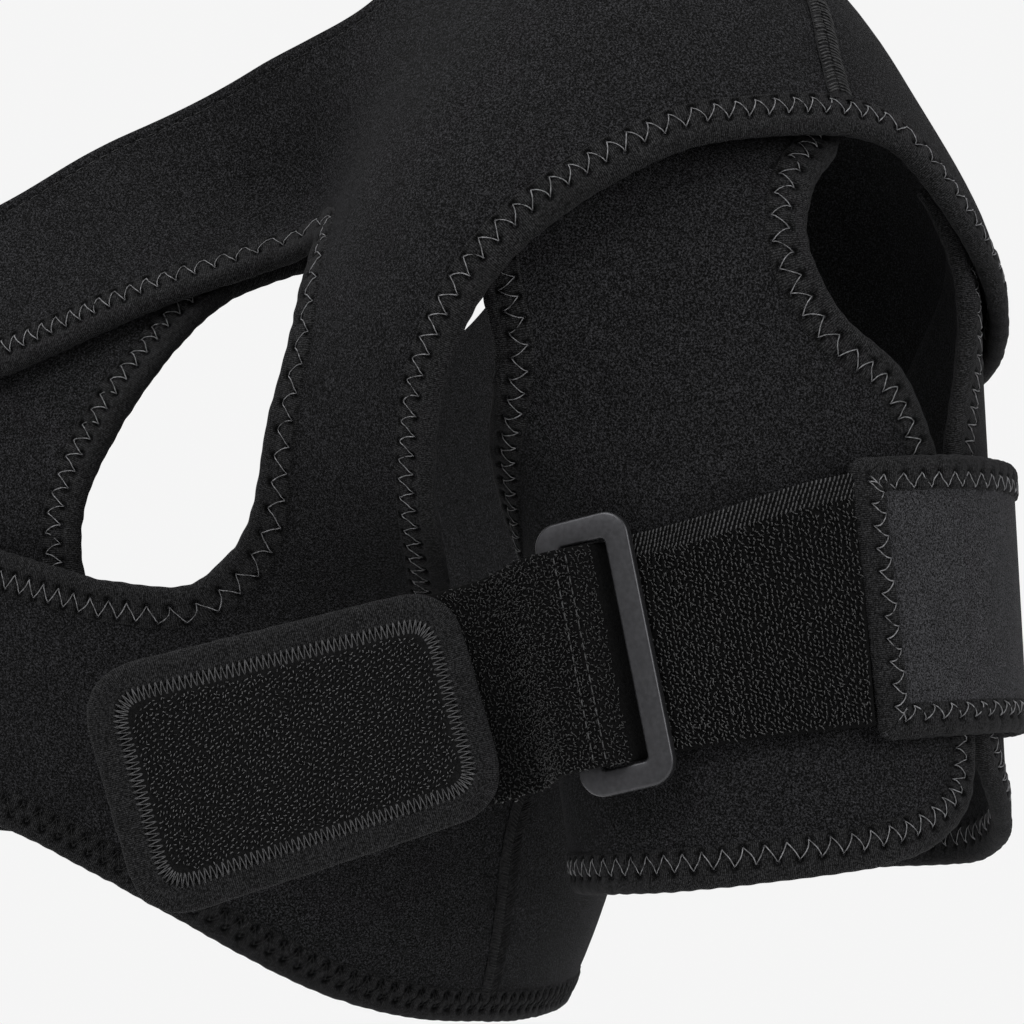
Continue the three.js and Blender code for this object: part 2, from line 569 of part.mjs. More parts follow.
// Outline that narrows towards the ring, moved inward by a margin.
function tabShape(margin) {
  const half = TAB.length / 2 - margin;
  const [free, near] = [TAB.wide / 2 - margin, TAB.narrow / 2 - margin];
  const r = TAB.corner - margin;
  const shape = new THREE.Shape();
  shape.moveTo(half, 0);
  shape.lineTo(half, near - r);
  shape.quadraticCurveTo(half, near, half - r, near);
  shape.lineTo(r - half, free);
  shape.quadraticCurveTo(-half, free, -half, free - r);
  shape.lineTo(-half, r - free);
  shape.quadraticCurveTo(-half, -free, r - half, -free);
  shape.lineTo(half - r, -near);
  shape.quadraticCurveTo(half, -near, half, r - near);
  shape.lineTo(half, 0);
  return shape;
}
const plate = (margin, thick, z) => {
  const body = new THREE.ExtrudeGeometry(tabShape(margin), { depth: thick, bevelEnabled: false, curveSegments: 5 });
  return body.translate(0, 0, z);
};
const TAB_STEPS = 40;
const tabLoop = tabShape(GAP + FOLD).getSpacedPoints(TAB_STEPS).slice(0, -1).map((p) => new THREE.Vector3(p.x, p.y, 0));
const tabLip = inset(FLAT, tabLoop, TAB.binding, 1);
add("tab_base", plate(GAP + FOLD + 0.15, TAB.thick, -TAB.thick / 2), NEOPRENE_FACE, tab);
add("tab_binding", binding(FLAT, tabLoop, tabLip, TAB.thick, true), BINDING_KNIT, tab);
add("hook_patch", plate(FOLD + TAB.binding + 1.2, TAB.patch, TAB.thick / 2 + GAP), HOOK_FACE, tab);

// Webbing: from the base under the ring's outer bar, up through the ring, over its inner bar, to the tab.
const behindTab = -(TAB.thick / 2 + 2 * GAP + FOLD + WEBBING.thick / 2);

// Width direction of a strap that lies on the arm; lean turns its lower edge outward.
function downOnArm(turn, drop, lift, width, lean) {
  const swing = THREE.MathUtils.radToDeg((lean * width) / 2 / (ARM.r0 + lift));
  const low = onArm(turn - swing, drop + width / 2, lift);
  return low.sub(onArm(turn + swing, drop - width / 2, lift)).normalize();
}
const lying = ({ turn, drop, lift, lean, width }) => ({
  p: onArm(turn, drop, lift),
  side: downOnArm(turn, drop, lift, width, lean),
  width,
});
const heldBy = (width) => (place) => ({ p: inRing(place), side: ringDown, width });
const sewn = (x) => ({ p: inTab(x, 0, behindTab), side: tabUp.clone().negate(), width: WEBBING.width });
const webbingPath = [
  ...WEBBING_ON_ARM.map(lying),
  ...WEBBING_IN_RING.map(heldBy(WEBBING.width)),
  sewn(TAB.length / 2 + 8),
  sewn(TAB.length / 2 - 14),
];
add("strap_webbing", ribbon(webbingPath, WEBBING.thick), LOOP_PILE);

const tail = ({ turn, lift }) => lying({ turn, lift, drop: RING.drop, lean: RING.lean, width: ANCHOR.width });
const anchorPath = [...ANCHOR_TAIL.map(tail), ...ANCHOR_IN_RING.map(heldBy(ANCHOR.width)), ...ANCHOR_RETURN.map(tail)];
add("ring_anchor", ribbon(anchorPath, ANCHOR.thick), LOOP_PILE);

export default brace;
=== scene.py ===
"""Neoprene shoulder brace in its worn form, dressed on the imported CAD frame."""

import bpy
import numpy as np
from mathutils.geometry import delaunay_2d_cdt
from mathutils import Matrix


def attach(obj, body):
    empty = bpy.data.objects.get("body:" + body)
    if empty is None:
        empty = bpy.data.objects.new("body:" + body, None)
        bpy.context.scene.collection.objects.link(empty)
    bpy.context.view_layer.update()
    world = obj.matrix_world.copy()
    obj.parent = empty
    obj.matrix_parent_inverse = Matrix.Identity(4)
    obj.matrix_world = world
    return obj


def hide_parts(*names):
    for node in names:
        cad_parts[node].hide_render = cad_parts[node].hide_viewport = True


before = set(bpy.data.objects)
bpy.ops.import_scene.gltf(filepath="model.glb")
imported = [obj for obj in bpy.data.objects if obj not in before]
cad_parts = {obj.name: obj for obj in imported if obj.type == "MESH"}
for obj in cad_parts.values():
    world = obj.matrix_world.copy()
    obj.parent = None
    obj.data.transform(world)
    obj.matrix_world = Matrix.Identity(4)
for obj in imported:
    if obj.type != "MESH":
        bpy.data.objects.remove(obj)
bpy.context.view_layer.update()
rng = np.random.default_rng(11)

# Sizes in millimetres in the form's own frame; SHIFT takes its points to the part's origin.
MM = 0.001
SHIFT = np.array([0.0, 0.0, -4.5])
PANEL = 3.0  # thickness of the cloth
BINDING = 9.0  # width of a folded binding
UNDER, OVER, STRAP = 0.2, 6.0, 5.9  # heights of the cloth's middle over the form
GAP = 0.35  # half of the gap at a seam
FRONT = np.array([0.0, -1.0, 0.0])
VIEW_TURN = np.radians(46)
view_side = np.array([np.cos(VIEW_TURN), np.sin(VIEW_TURN), 0])
view_out = np.array([np.sin(VIEW_TURN), -np.cos(VIEW_TURN), 0])

# Body form that the cloth follows.
TORSO = ([-214, 0, -170], [170, 125, 190])
YOKE = ([-150, 0, -6], [2, 0, -47], 44, 44)
ARMPIT = ([-118, 54, -138], [0, 30, -112], 36, 36)
DELTOID = ([4, 5, -85], [44, 73, 60])
ARM_TOP = np.array([25.0, 8.0, -98.0])
ARM_TILT, ARM_LENGTH, ARM_R0, ARM_R1 = np.radians(8), 260, 56, 42
ARM_DOWN = np.array([np.sin(ARM_TILT), 0, -np.cos(ARM_TILT)])
ARM_OUT = np.array([np.cos(ARM_TILT), 0, np.sin(ARM_TILT)])
ARM_BLEND, BODY_BLEND = 20, 34  # how softly the shapes run together
ARM_NEAR, ARM_FAR, HALVINGS = 4.0, 110.0, 34  # search for a place over the arm

# Outlines of the panels: places on the form, or (turn, drop) on the arm.
SEAM = [(-24, 0, 6), (0, 1, 0), (30, 4, -9), (50, 5, -22), (61, -1, -38), (70, -5, -55)]
NECK_FRONT = [
    (-24, 0, 6), (-28, -26, -4), (-38, -47, -18), (-79, -51, -32), (-110, -68, -48),
    (-131, -92, -66), (-175, -112, -86), (-220, -121, -104), (-262, -117, -118),
]
END_FRONT = [(-262, -117, -118), (-268, -116, -156), (-262, -117, -198)]
HEM_FRONT = [
    (-262, -117, -198), (-215, -123, -200), (-160, -117, -206), (-115, -104, -216), (-95, -88, -228),
    (-81, -72, -240), (-66, -40, -259), (-62, -21, -265), (-60, 7, -270),
]
SIDE = [(-60, 7, -270), (-49, 2, -238), (-44, 0, -223), (-41, 3, -196)]
ARMHOLE_FRONT = [
    (-41, 3, -196), (-40, -13, -194), (-26, -38, -178), (-6, -58, -153), (6, -73, -131), (16, -77, -107),
    (30, -70, -83), (53, -42, -60), (64, -23, -56), (70, -5, -55),
]
OPENING_TOP = [(-62, -62, -80), (-78, -76, -88), (-115, -104, -107), (-155, -118, -119), (-195, -124, -127)]
OPENING_APEX = [(-195, -124, -127), (-202, -125, -130), (-195, -124, -133)]
OPENING_LOW = [(-195, -124, -133), (-155, -118, -139), (-108, -108, -151), (-85, -96, -158)]
OPENING_TURN = [(-85, -96, -158), (-66, -84, -159), (-53, -80, -150)]
OPENING_SIDE = [(-53, -80, -150), (-46, -80, -140), (-39, -81, -119), (-36, -77, -100), (-41, -67, -84)]
OPENING_CORNER = [(-41, -67, -84), (-48, -59, -76), (-62, -62, -80)]
ARMHOLE_BACK = [
    (70, -5, -55), (74, 10, -58), (80, 24, -76), (78, 42, -92), (65, 58, -104), (45, 70, -112),
    (22, 74, -122), (0, 66, -140), (-25, 43, -173), (-40, 19, -194), (-41, 3, -196),
]
HEM_BACK = [(-60, 7, -270), (-68, 45, -275), (-95, 82, -276), (-140, 109, -270), (-235, 123, -262)]
END_BACK = [(-235, 123, -262), (-240, 125, -217), (-236, 125, -160), (-222, 120, -104)]
NECK_BACK = [
    (-222, 120, -104), (-175, 112, -84), (-140, 98, -67), (-104, 76, -49), (-66, 54, -28), (-33, 33, -5),
    (-24, 0, 6),
]
STRAP_TOP = [
    (-52, -46, -64), (-64, -48, -50), (-94, -62, -56), (-125, -90, -78), (-175, -112, -103),
    (-262, -115, -130), (-345, -78, -152), (-382, 0, -165), (-340, 80, -176), (-262, 118, -182),
    (-205, 124, -182),
]
STRAP_BACK_END = [(-205, 124, -182), (-203, 124, -200), (-202, 124, -217)]
STRAP_BACK_REST = [(-202, 124, -217), (-203, 123, -234), (-205, 122, -252)]
STRAP_LOW = [
    (-205, 122, -252), (-262, 116, -252), (-340, 80, -246), (-382, 0, -234), (-345, -78, -212),
    (-262, -115, -190), (-205, -122, -182), (-160, -116, -181), (-110, -102, -184), (-86, -90, -182),
]
STRAP_END = [
    (-86, -90, -182), (-94, -96, -155), (-93, -97, -140), (-86, -91, -119), (-82, -85, -108),
    (-74, -64, -86), (-52, -46, -64),
]
SPINE_STRAP = [
    (-74, -54, -66), (-100, -76, -84), (-120, -101, -118), (-136, -108, -146), (-180, -117, -148),
    (-262, -116, -160), (-345, -78, -182), (-382, 0, -200), (-340, 80, -211), (-262, 118, -217),
    (-226, 123, -217),
]
CUFF_FRONT_TOP = [(4, -54), (22, -53), (46, -47), (72, -38), (86, -32), (96, -24)]
CUFF_ARMPIT = [
    (96, -24), (96, -8), (97, 4), (102, 14), (110, 23), (124, 36), (150, 52), (180, 59), (205, 58),
    (228, 53), (248, 44), (261, 30), (268, 14),
]
CUFF_BACK_TOP = [(268, 14), (280, 2), (300, -11), (318, -22), (338, -26)]
CUFF_BACK_EDGE = [
    (338, -26), (337, -11), (336, 5), (345, 24), (351, 38), (349, 60), (348, 94), (344, 106),
    (334, 116), (318, 124),
]
CUFF_BOTTOM = [
    (318, 124), (304, 127), (290, 129), (250, 128), (215, 127), (180, 126), (145, 127), (110, 128), (70, 129),
    (28, 128),
]
CUFF_FRONT_EDGE = [
    (28, 128), (14, 126), (3, 122), (-5, 116), (-9, 104), (-7, 70), (-5, 48), (-1, 38), (8, 20),
    (24, 6), (30, -10), (25, -24), (12, -34), (5, -43), (4, -54),
]


# Form.
def unit(v):
    return v / np.maximum(np.linalg.norm(v, axis=-1, keepdims=True), 1e-12)


def ellipsoid(p, centre, radii):
    q = (p - np.array(centre)) / np.array(radii)
    near = np.linalg.norm(q, axis=-1)
    return near * (near - 1) / np.maximum(np.linalg.norm(q / np.array(radii), axis=-1), 1e-9)


def capsule(p, a, b, r0, r1):
    a, b = np.array(a, float), np.array(b, float)
    run = b - a
    t = np.clip((p - a) @ run / (run @ run), 0, 1)
    return np.linalg.norm(p - a - t[..., None] * run, axis=-1) - (r0 + (r1 - r0) * t)


def blend(a, b, size):
    h = np.clip(0.5 + 0.5 * (b - a) / size, 0, 1)
    return b + (a - b) * h - size * h * (1 - h)


def arm_form(p):
    line = capsule(p, ARM_TOP, ARM_TOP + ARM_DOWN * ARM_LENGTH, ARM_R0, ARM_R1)
    return blend(ellipsoid(p, *DELTOID), line, ARM_BLEND)


def body_form(p):
    folded = np.stack([p[..., 0], np.abs(p[..., 1]), p[..., 2]], -1)
    trunk = blend(ellipsoid(p, *TORSO), capsule(p, *YOKE), BODY_BLEND)
    trunk = blend(trunk, capsule(folded, *ARMPIT), BODY_BLEND)
    return blend(trunk, arm_form(p), BODY_BLEND)


class Layer:
    """Cloth surface at one height above a form."""

    def __init__(self, form, height):
        self.form = form
        self.height = height

    def normal(self, p):
        steps = np.eye(3) * 0.5
        return unit(np.stack([self.form(p + s) - self.form(p - s) for s in steps], -1))

    def seat(self, p, rounds=5):
        p = np.array(p, float)
        for _ in range(rounds):
            p = p + self.normal(p) * (self.height - self.form(p))[..., None]
        return p


body = Layer(body_form, OVER)
strap = Layer(body_form, UNDER)
sleeve = Layer(arm_form, UNDER)
base_layer = Layer(arm_form, STRAP)


def across_arm(outward, forward, drop):
    outward, forward, drop = np.broadcast_arrays(outward, forward, drop)
    return ARM_TOP + drop[..., None] * ARM_DOWN + outward[..., None] * ARM_OUT + forward[..., None] * FRONT


def on_arm(turn, drop, height):
    """Place over the arm from a turn in degrees and a distance down it, found by halving."""
    angle = np.radians(np.asarray(turn, float))
    drop = np.asarray(drop, float)
    shape = np.broadcast(angle, drop).shape
    low, high = np.full(shape, ARM_NEAR), np.full(shape, ARM_FAR)
    for _ in range(HALVINGS):
        middle = (low + high) / 2
        inside = arm_form(across_arm(middle * np.cos(angle), middle * np.sin(angle), drop)) < height
        low, high = np.where(inside, middle, low), np.where(inside, high, middle)
    return across_arm(low * np.cos(angle), low * np.sin(angle), drop)


# Lines on the cloth.
def spline(points, dense=60):
    """Centripetal Catmull-Rom curve through points, as a dense polyline."""
    p = np.vstack([2 * points[0] - points[1], points, 2 * points[-1] - points[-2]])
    t = np.linspace(0, 1, dense, endpoint=False)[:, None]
    runs = []
    for x0, x1, x2, x3 in zip(p[:-3], p[1:-2], p[2:-1], p[3:]):
        d0, d1, d2 = (max(np.linalg.norm(b - a), 1e-4) ** 0.5 for a, b in ((x0, x1), (x1, x2), (x2, x3)))
        t1 = ((x1 - x0) / d0 - (x2 - x0) / (d0 + d1) + (x2 - x1) / d1) * d1
        t2 = ((x2 - x1) / d1 - (x3 - x1) / (d1 + d2) + (x3 - x2) / d2) * d1
        runs.append(x1 + t1 * t + (3 * (x2 - x1) - 2 * t1 - t2) * t**2 + (2 * (x1 - x2) + t1 + t2) * t**3)
    return np.vstack(runs + [points[-1:]])


def lengths(line):
    return np.concatenate([[0], np.cumsum(np.linalg.norm(np.diff(line, axis=0), axis=1))])


def follow(grid, s, at):
    """Values of a row of points, which lie at distances s, at other distances."""
    return np.stack([np.interp(at, s, grid[:, i]) for i in range(grid.shape[1])], -1)


def spaced(line, count):
    s = lengths(line)
    return follow(line, s, np.linspace(0, s[-1], count + 1))


def trace(surface, table, count):
    """Evenly spaced points of an outline's edge, on the cloth."""
    table = np.array(table, float)
    flat = table.shape[1] == 2
    places = on_arm(table[:, 0], table[:, 1], surface.height) if flat else surface.seat(table, 14)
    return surface.seat(spaced(spline(places), count))


def plain(*tables):
    """Edges that stay where their tables put them."""
    return [(table, 0) for table in tables]


def edge_line(surface, edges, step=0.6):
    """Evenly spaced points along one or more joined (table, shift to the front) edges."""
    runs = []
    for table, shift in edges:
        rough = trace(surface, table, 60)
        run = trace(surface, table, max(int(lengths(rough)[-1] / 2), 20))
        runs.append(surface.seat(run + FRONT * shift) if shift else run)
    line = np.vstack([runs[0]] + [r[1:] for r in runs[1:]])
    return surface.seat(spaced(line, int(lengths(line)[-1] / step)))


def inward(surface, line, side, closed, reach=5):
    """Directions in the cloth, square to an edge."""
    if closed:
        ahead = np.roll(line, -reach, 0) - np.roll(line, reach, 0)
    else:
        k = np.arange(len(line))
        ahead = line[np.minimum(k + reach, len(line) - 1)] - line[np.maximum(k - reach, 0)]
    return side * unit(np.cross(surface.normal(line), ahead))


def on_layer(surface, line, side, closed, width):
    """Strip of cloth beside an edge: middle points and normals at four depths."""
    way = inward(surface, line, side, closed)
    depths = np.linspace(0, width, 4)
    at = np.stack([surface.seat(line + way * d, 3) for d in depths])
    return depths, at, surface.normal(at), way


def smooth_step(x, low, high):
    t = np.clip((x - low) / (high - low), 0, 1)
    return t * t * (3 - 2 * t)


def bell(x, wide):
    return np.exp(-((x / wide) ** 2))


def soft_noise(size, closed, width=9):
    raw = rng.normal(size=size)
    kernel = np.hanning(width + 2)[1:-1]
    kernel /= np.sqrt((kernel**2).sum())
    padded = np.concatenate([raw[-width:], raw, raw[:width]]) if closed else np.pad(raw, width, mode="edge")
    return np.convolve(padded, kernel, "same")[width:-width]


# Materials.
def grey(v, blue=1.04):
    return (v, v, v * blue)


WHITE = grey(1, 1)


class Finish:
    """Principled material with inputs that vary by noise in the object's own space."""

    def __init__(self, name, **values):
        self.mat = bpy.data.materials.new(name)
        self.mat.use_nodes = True
        self.nodes, self.links = self.mat.node_tree.nodes, self.mat.node_tree.links
        self.shader = self.nodes["Principled BSDF"]
        for key, value in values.items():
            self.shader.inputs[key.replace("_", " ")].default_value = value

    def node(self, kind, **values):
        made = self.nodes.new("ShaderNode" + kind)
        for key, value in values.items():
            if key.replace("_", " ") in made.inputs:
                made.inputs[key.replace("_", " ")].default_value = value
            else:
                setattr(made, key, value)
        return made

    def noise(self, scale, detail, rough=0.5):
        made = self.node("TexNoise", Scale=scale, Detail=detail, Roughness=rough)
        self.links.new(self.node("TexCoord").outputs["Object"], made.inputs["Vector"])
        return made.outputs["Fac"]

    def mark(self, name):
        """Value that the mesh holds at each point."""
        return self.node("Attribute", attribute_name=name).outputs["Fac"]

    def ribs(self, scale):
        """Fine lines across a tape, by the marks for places along and across it."""
        weave = self.node("CombineXYZ")
        self.links.new(self.mark("along"), weave.inputs["X"])
        self.links.new(self.mark("across"), weave.inputs["Y"])
        made = self.node("TexWave", Scale=scale, Distortion=0.8, Detail=2.0, Detail_Scale=2.0)
        self.links.new(weave.outputs["Vector"], made.inputs["Vector"])
        return made.outputs["Fac"]

    def ramp(self, source, low, high, start, end):
        made = self.node("ValToRGB")
        for stop, colour, position in zip(made.color_ramp.elements, (low, high), (start, end)):
            stop.position = position
            stop.color = (*colour, 1)
        self.links.new(source, made.inputs["Fac"])
        return made.outputs["Color"]

    def times(self, a, b):
        made = self.node("Mix", data_type="RGBA", blend_type="MULTIPLY")
        for socket, colour in ((6, a), (7, b)):
            self.links.new(colour, made.inputs[socket])
        made.inputs[0].default_value = 1.0
        return made.outputs[2]

    def roughness(self, source, low, high):
        made = self.node("MapRange", To_Min=low, To_Max=high)
        self.links.new(source, made.inputs["Value"])
        self.links.new(made.outputs["Result"], self.shader.inputs["Roughness"])

    def bump(self, source, strength, distance, under=None):
        made = self.node("Bump", Strength=strength, Distance=distance)
        self.links.new(source, made.inputs["Height"])
        if under is not None:
            self.links.new(under, made.inputs["Normal"])
        return made.outputs["Normal"]

    def done(self, colour, normal):
        self.links.new(colour, self.shader.inputs["Base Color"])
        self.links.new(normal, self.shader.inputs["Normal"])
        return self.mat


def knit_cloth(name, dark, light, grain, depth, rib=None, sheen=0.004, specks=(0.37, 0.66)):
    """Black knit: fuzzy grain, soft mottling and, where rib is set, fine lines across the tape and painted
    shade in its needle holes.
    """
    made = Finish(
        name, Roughness=0.88, Sheen_Weight=sheen, Sheen_Roughness=0.5, Sheen_Tint=(0.8, 0.8, 0.85, 1),
        Specular_IOR_Level=0.04,
    )
    fuzz, mottle = made.noise(grain, 5.0, 0.75), made.noise(130.0, 4.0, 0.6)
    uneven = made.ramp(mottle, grey(0.84, 1), WHITE, 0.38, 0.62)
    colour = made.times(made.ramp(fuzz, dark, light, *specks), uneven)
    normal = made.bump(fuzz, 0.8, depth)
    if rib:
        ribs = made.ribs(rib)
        colour = made.times(colour, made.ramp(ribs, grey(0.35, 1), WHITE, 0.15, 0.8))
        # painted shade: the colour is darkened in the needle holes and stitch grooves, where shade falls
        colour = made.times(colour, made.ramp(made.mark("hole_shade"), WHITE, grey(0.03, 1), 0.1, 0.7))
        normal = made.bump(ribs, 0.6, 0.00022, normal)
    made.roughness(mottle, 0.8, 0.97)
    return made.done(colour, normal)


def fibre(name, dark, light, scale, rough, specular):
    """Yarn or moulded nylon: colour that varies from strand to strand."""
    made = Finish(name, Roughness=rough, Specular_IOR_Level=specular, Sheen_Weight=0.01)
    noise = made.noise(scale, 3.0)
    made.roughness(noise, rough - 0.1, rough + 0.1)
    return made.done(made.ramp(noise, dark, light, 0.38, 0.66), made.bump(noise, 0.3, 0.00005))


def metal():
    made = Finish("ring_satin", Metallic=0.85, Roughness=0.38, Specular_IOR_Level=0.3)
    noise = made.noise(900.0, 4.0)
    made.roughness(noise, 0.36, 0.46)
    colour = made.ramp(noise, (0.022, 0.022, 0.0235), (0.028, 0.028, 0.03), 0.35, 0.65)
    return made.done(colour, made.bump(noise, 0.04, 0.00004))


NEOPRENE = knit_cloth("neoprene_knit", grey(0.0003), grey(0.0265, 1.08), 2300.0, 0.0007, specks=(0.47, 0.68))
# Lighter copy of the neoprene knit for the strap base: partly a paler fabric, partly painted light where the
# side lamp falls on it.
PALE_KNIT_AND_PAINTED_LIGHT = knit_cloth("pale_knit_and_painted_light", grey(0.0012), grey(0.046, 1.08), 2700.0, 0.0006, specks=(0.43, 0.68))
LINING = knit_cloth(
    "binding_knit", grey(0.001), grey(0.029), 2200.0, 0.0003, rib=0.7, sheen=0.01, specks=(0.43, 0.7)
)
TAPE = knit_cloth("seam_tape", grey(0.002), grey(0.012), 1500.0, 0.0004)
BACKING = knit_cloth("webbing_ground", grey(0.0006), grey(0.0022), 1600.0, 0.0004, sheen=0.0)
HOOK_GROUND = knit_cloth("hook_ground", grey(0.001), grey(0.004), 1800.0, 0.0003, sheen=0.0)
THREAD = fibre("thread", grey(0.03), grey(0.1), 900.0, 0.55, 0.25)
DARK_THREAD = fibre("seam_thread", grey(0.002), grey(0.016), 1100.0, 0.6, 0.15)
# Darker copy of the seam thread: painted shade for the hem and side seam, which turn away from the light.
PAINTED_SHADE_THREAD = fibre("thread_painted_shade", grey(0.0008), grey(0.006), 1100.0, 0.7, 0.08)
PILE = fibre("loop_pile", grey(0.0002), grey(0.005), 900.0, 0.33, 0.26)
SELVAGE = fibre("selvage_yarn", grey(0.003), grey(0.02), 1000.0, 0.5, 0.25)
HOOKS = fibre("hook_nylon", grey(0.002), grey(0.03), 1000.0, 0.4, 0.4)
TAB_THREAD = fibre("tab_thread", grey(0.005), grey(0.03), 1200.0, 0.55, 0.25)
METAL = metal()


# Meshes.
def build(name, points, faces, mat, slot, stands_for=(), **marks):
    mesh = bpy.data.meshes.new(name)
    mesh.from_pydata(((np.asarray(points) + SHIFT) * MM).tolist(), [], [list(map(int, f)) for f in faces])
    for key, values in marks.items():
        layer = mesh.attributes.new(key, "FLOAT", "POINT")
        layer.data.foreach_set("value", np.asarray(values, np.float32).ravel())
    mesh.polygons.foreach_set("use_smooth", np.ones(len(mesh.polygons), bool))
    mesh.materials.append(mat)
    obj = bpy.data.objects.new(name, mesh)
    bpy.context.scene.collection.objects.link(obj)
    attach(obj, "root")
    if stands_for:
        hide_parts(*stands_for)
    return obj


def strip_faces(rows, size, closed=True, offset=0, flip=False, wrap=False):
    """Quads between rows of size points; wrap also joins the last row to the first."""
    j = np.arange(rows if wrap else rows - 1)[:, None]
    k = np.arange(size if closed else size - 1)[None, :]
    n, m = (k + 1) % size, (j + 1) % rows
    quads = np.stack([j * size + k, j * size + n, m * size + n, m * size + k], -1).reshape(-1, 4) + offset
    return quads[:, ::-1] if flip else quads


TUBE_SIDES = 4


def tubes(paths, normals, radius):
    """Threads along paths (count, points, 3), with the cloth's normals."""
    count, size, _ = paths.shape
    ahead = unit(np.gradient(paths, axis=1))
    side = unit(np.cross(ahead, normals))
    up = unit(np.cross(side, ahead))
    turn = np.arange(TUBE_SIDES) * 2 * np.pi / TUBE_SIDES
    ring = np.cos(turn)[:, None] * side[:, :, None, :] + np.sin(turn)[:, None] * up[:, :, None, :]
    points = (paths[:, :, None, :] + ring * radius).reshape(-1, 3)
    caps = np.arange(TUBE_SIDES)
    ends = np.stack([caps[::-1], caps + (size - 1) * TUBE_SIDES])
    starts = (np.arange(count) * size * TUBE_SIDES)[:, None, None]
    faces = (strip_faces(size, TUBE_SIDES)[None] + starts).reshape(-1, 4)
    closing = (ends[None] + starts).reshape(-1, TUBE_SIDES)
    return points, list(faces) + list(closing)


# Depths from an edge at which the cloth has rows, and what a turned hem and a raw edge look like there.
DEPTHS = np.array([0, 0.35, 0.8, 1.4, 2.0, 2.4, 2.8, 3.2, 3.7, 4.6, 6.5, 9.0])
STITCH_DEPTH, STITCH_SINK, STITCH_WIDE = 2.8, 0.55, 0.45
HEM_RISE, HEM_ENDS = 0.4, (3.3, 4.4)  # of the turned layer, and where it runs out
RAW_EDGE = ((0.35, 0.95), (0.5, 0.0), (0.35, -0.95))  # reach beyond the outline, height


def hem_height(depth):
    """Rise of a turned hem with its line of stitches."""
    turned = HEM_RISE * (1 - smooth_step(depth, *HEM_ENDS))
    return turned - STITCH_SINK * bell(depth - STITCH_DEPTH, STITCH_WIDE)


def raw_edge(line, away, n):
    return np.stack([line + away * reach + n * height for reach, height in RAW_EDGE])


# Chest strap: a panel on rows that close onto a spine.
LOOK_AHEAD = 8


def outline(surface, edges):
    """Closed loop of (table, count) edges, and the station at which each starts."""
    runs = [trace(surface, table, count)[:-1] for table, count in edges]
    return np.vstack(runs), np.cumsum([0] + [count for _, count in edges])


def inset(surface, loop, reach):
    """Closed loop moved into the cloth."""
    n = surface.normal(loop)
    before = unit(np.cross(n, loop - np.roll(loop, 1, 0)))
    after = unit(np.cross(n, np.roll(loop, -1, 0) - loop))
    way = unit(before + after)
    share = np.maximum(np.sum(way * before, -1), 0.75)
    return surface.seat(loop + way * (reach / share)[:, None])


def finer(row, sub):
    """Closed row with sub steps in place of each one."""
    t = np.arange(len(row) * sub) / sub
    k = t.astype(int)
    share = (t - k)[:, None]
    return row[k] * (1 - share) + np.roll(row, -1, 0)[k] * share


def bones_along(side, spine):
    """Spine point that each point of one side runs to, without going back."""
    end = len(spine) - 1
    picked = [0]
    for k in range(1, len(side)):
        last = picked[-1]
        spans = np.linalg.norm(spine[last : last + LOOK_AHEAD] - side[k], axis=-1)
        step = last + min(int(np.argmin(spans)), 1)
        picked.append(min(max(step, end - (len(side) - 1 - k)), end))
    return np.array(picked)


def wall(surface, grid, depth, hem, spine_index):
    """Closed cloth wall on a grid of rows; spine_index names shared points of the last row."""
    rows, size, _ = grid.shape
    n = surface.normal(grid)
    high = PANEL / 2 + hem_height(depth)[:, None] * hem[None, :]
    outer, inner = grid + n * high[..., None], grid - n * (PANEL / 2)
    _, first, index = np.unique(spine_index, return_index=True, return_inverse=True)
    outer[-1], inner[-1] = outer[-1][first][index], inner[-1][first][index]
    rim = np.vstack([outer[:1], raw_edge(grid[0], unit(grid[0] - grid[1]), n[0]), inner[:1]])
    points = np.vstack([part.reshape(-1, 3) for part in (outer, inner, rim)])
    faces = np.vstack([
        strip_faces(rows, size), strip_faces(rows, size, offset=rows * size, flip=True),
        strip_faces(len(rim), size, offset=2 * rows * size, flip=True),
    ])
    _, first, index = np.unique(np.round(points, 4), axis=0, return_index=True, return_inverse=True)
    whole = []
    for f in index.ravel()[faces].tolist():
        kept = [v for i, v in enumerate(f) if v != f[i - 1]]
        if len(set(kept)) == len(kept) > 2:
            whole.append(kept)
    return points[first], whole


def panel(name, surface, edges, turn, spine_table, rows, bones, sub):
    """Cloth panel of (table, count, lip, hem) edges, whose second side starts at edge turn."""
    coarse, _ = outline(surface, [e[:2] for e in edges])
    reach = np.concatenate([np.full(e[1], float(e[2])) for e in edges])
    lip = finer(inset(surface, coarse, reach), sub)
    loop, starts = outline(surface, [(e[0], e[1] * sub) for e in edges])
    reach = np.repeat(reach, sub)
    hem = np.concatenate([np.full(e[1] * sub, float(e[3])) for e in edges])
    spine = trace(surface, spine_table, bones * 3)
    half = starts[turn]
    there = bones_along(loop[: half + 1], spine)
    back = bones_along(np.vstack([loop[:1], loop[half:][::-1]]), spine)
    index = np.concatenate([there, back[1:-1][::-1]])
    ends = spine[index]
    share = np.minimum(DEPTHS[:, None] / reach[None, :], 1)
    span = np.linalg.norm(ends - lip, axis=-1)
    beyond = np.clip((DEPTHS[:, None] - reach[None, :]) / np.maximum(span, 1e-6), 0, 0.4)
    start = loop[None] * (1 - share[..., None]) + lip[None] * share[..., None]
    short = (reach < DEPTHS[-1])[None, :, None]
    start = np.where(short, start + (ends - lip)[None] * beyond[..., None], start)
    steps = np.linspace(0, 1, rows + 1)[1:, None, None]
    grid = surface.seat(np.vstack([start, start[-1][None] * (1 - steps) + ends[None] * steps]))
    grid[-1] = ends
    depth = np.concatenate([DEPTHS, np.full(rows, 99.0)])
    points, faces = wall(surface, grid, depth, hem, index)
    return build(name + "_cloth", points, faces, NEOPRENE, "neoprene", [name])


# Front, back and cuff: panels cut from a flat chart of the cloth.
CUT_STEP, CUT_MESH = 1.6, 4.0  # along edges and between inner points
HEM_STEP, HEM_ZONE = 1.3, 5.2  # along a hem, and how far its close rows reach
DOME_SPREAD, SLEEVE_ROUND = 130, 58


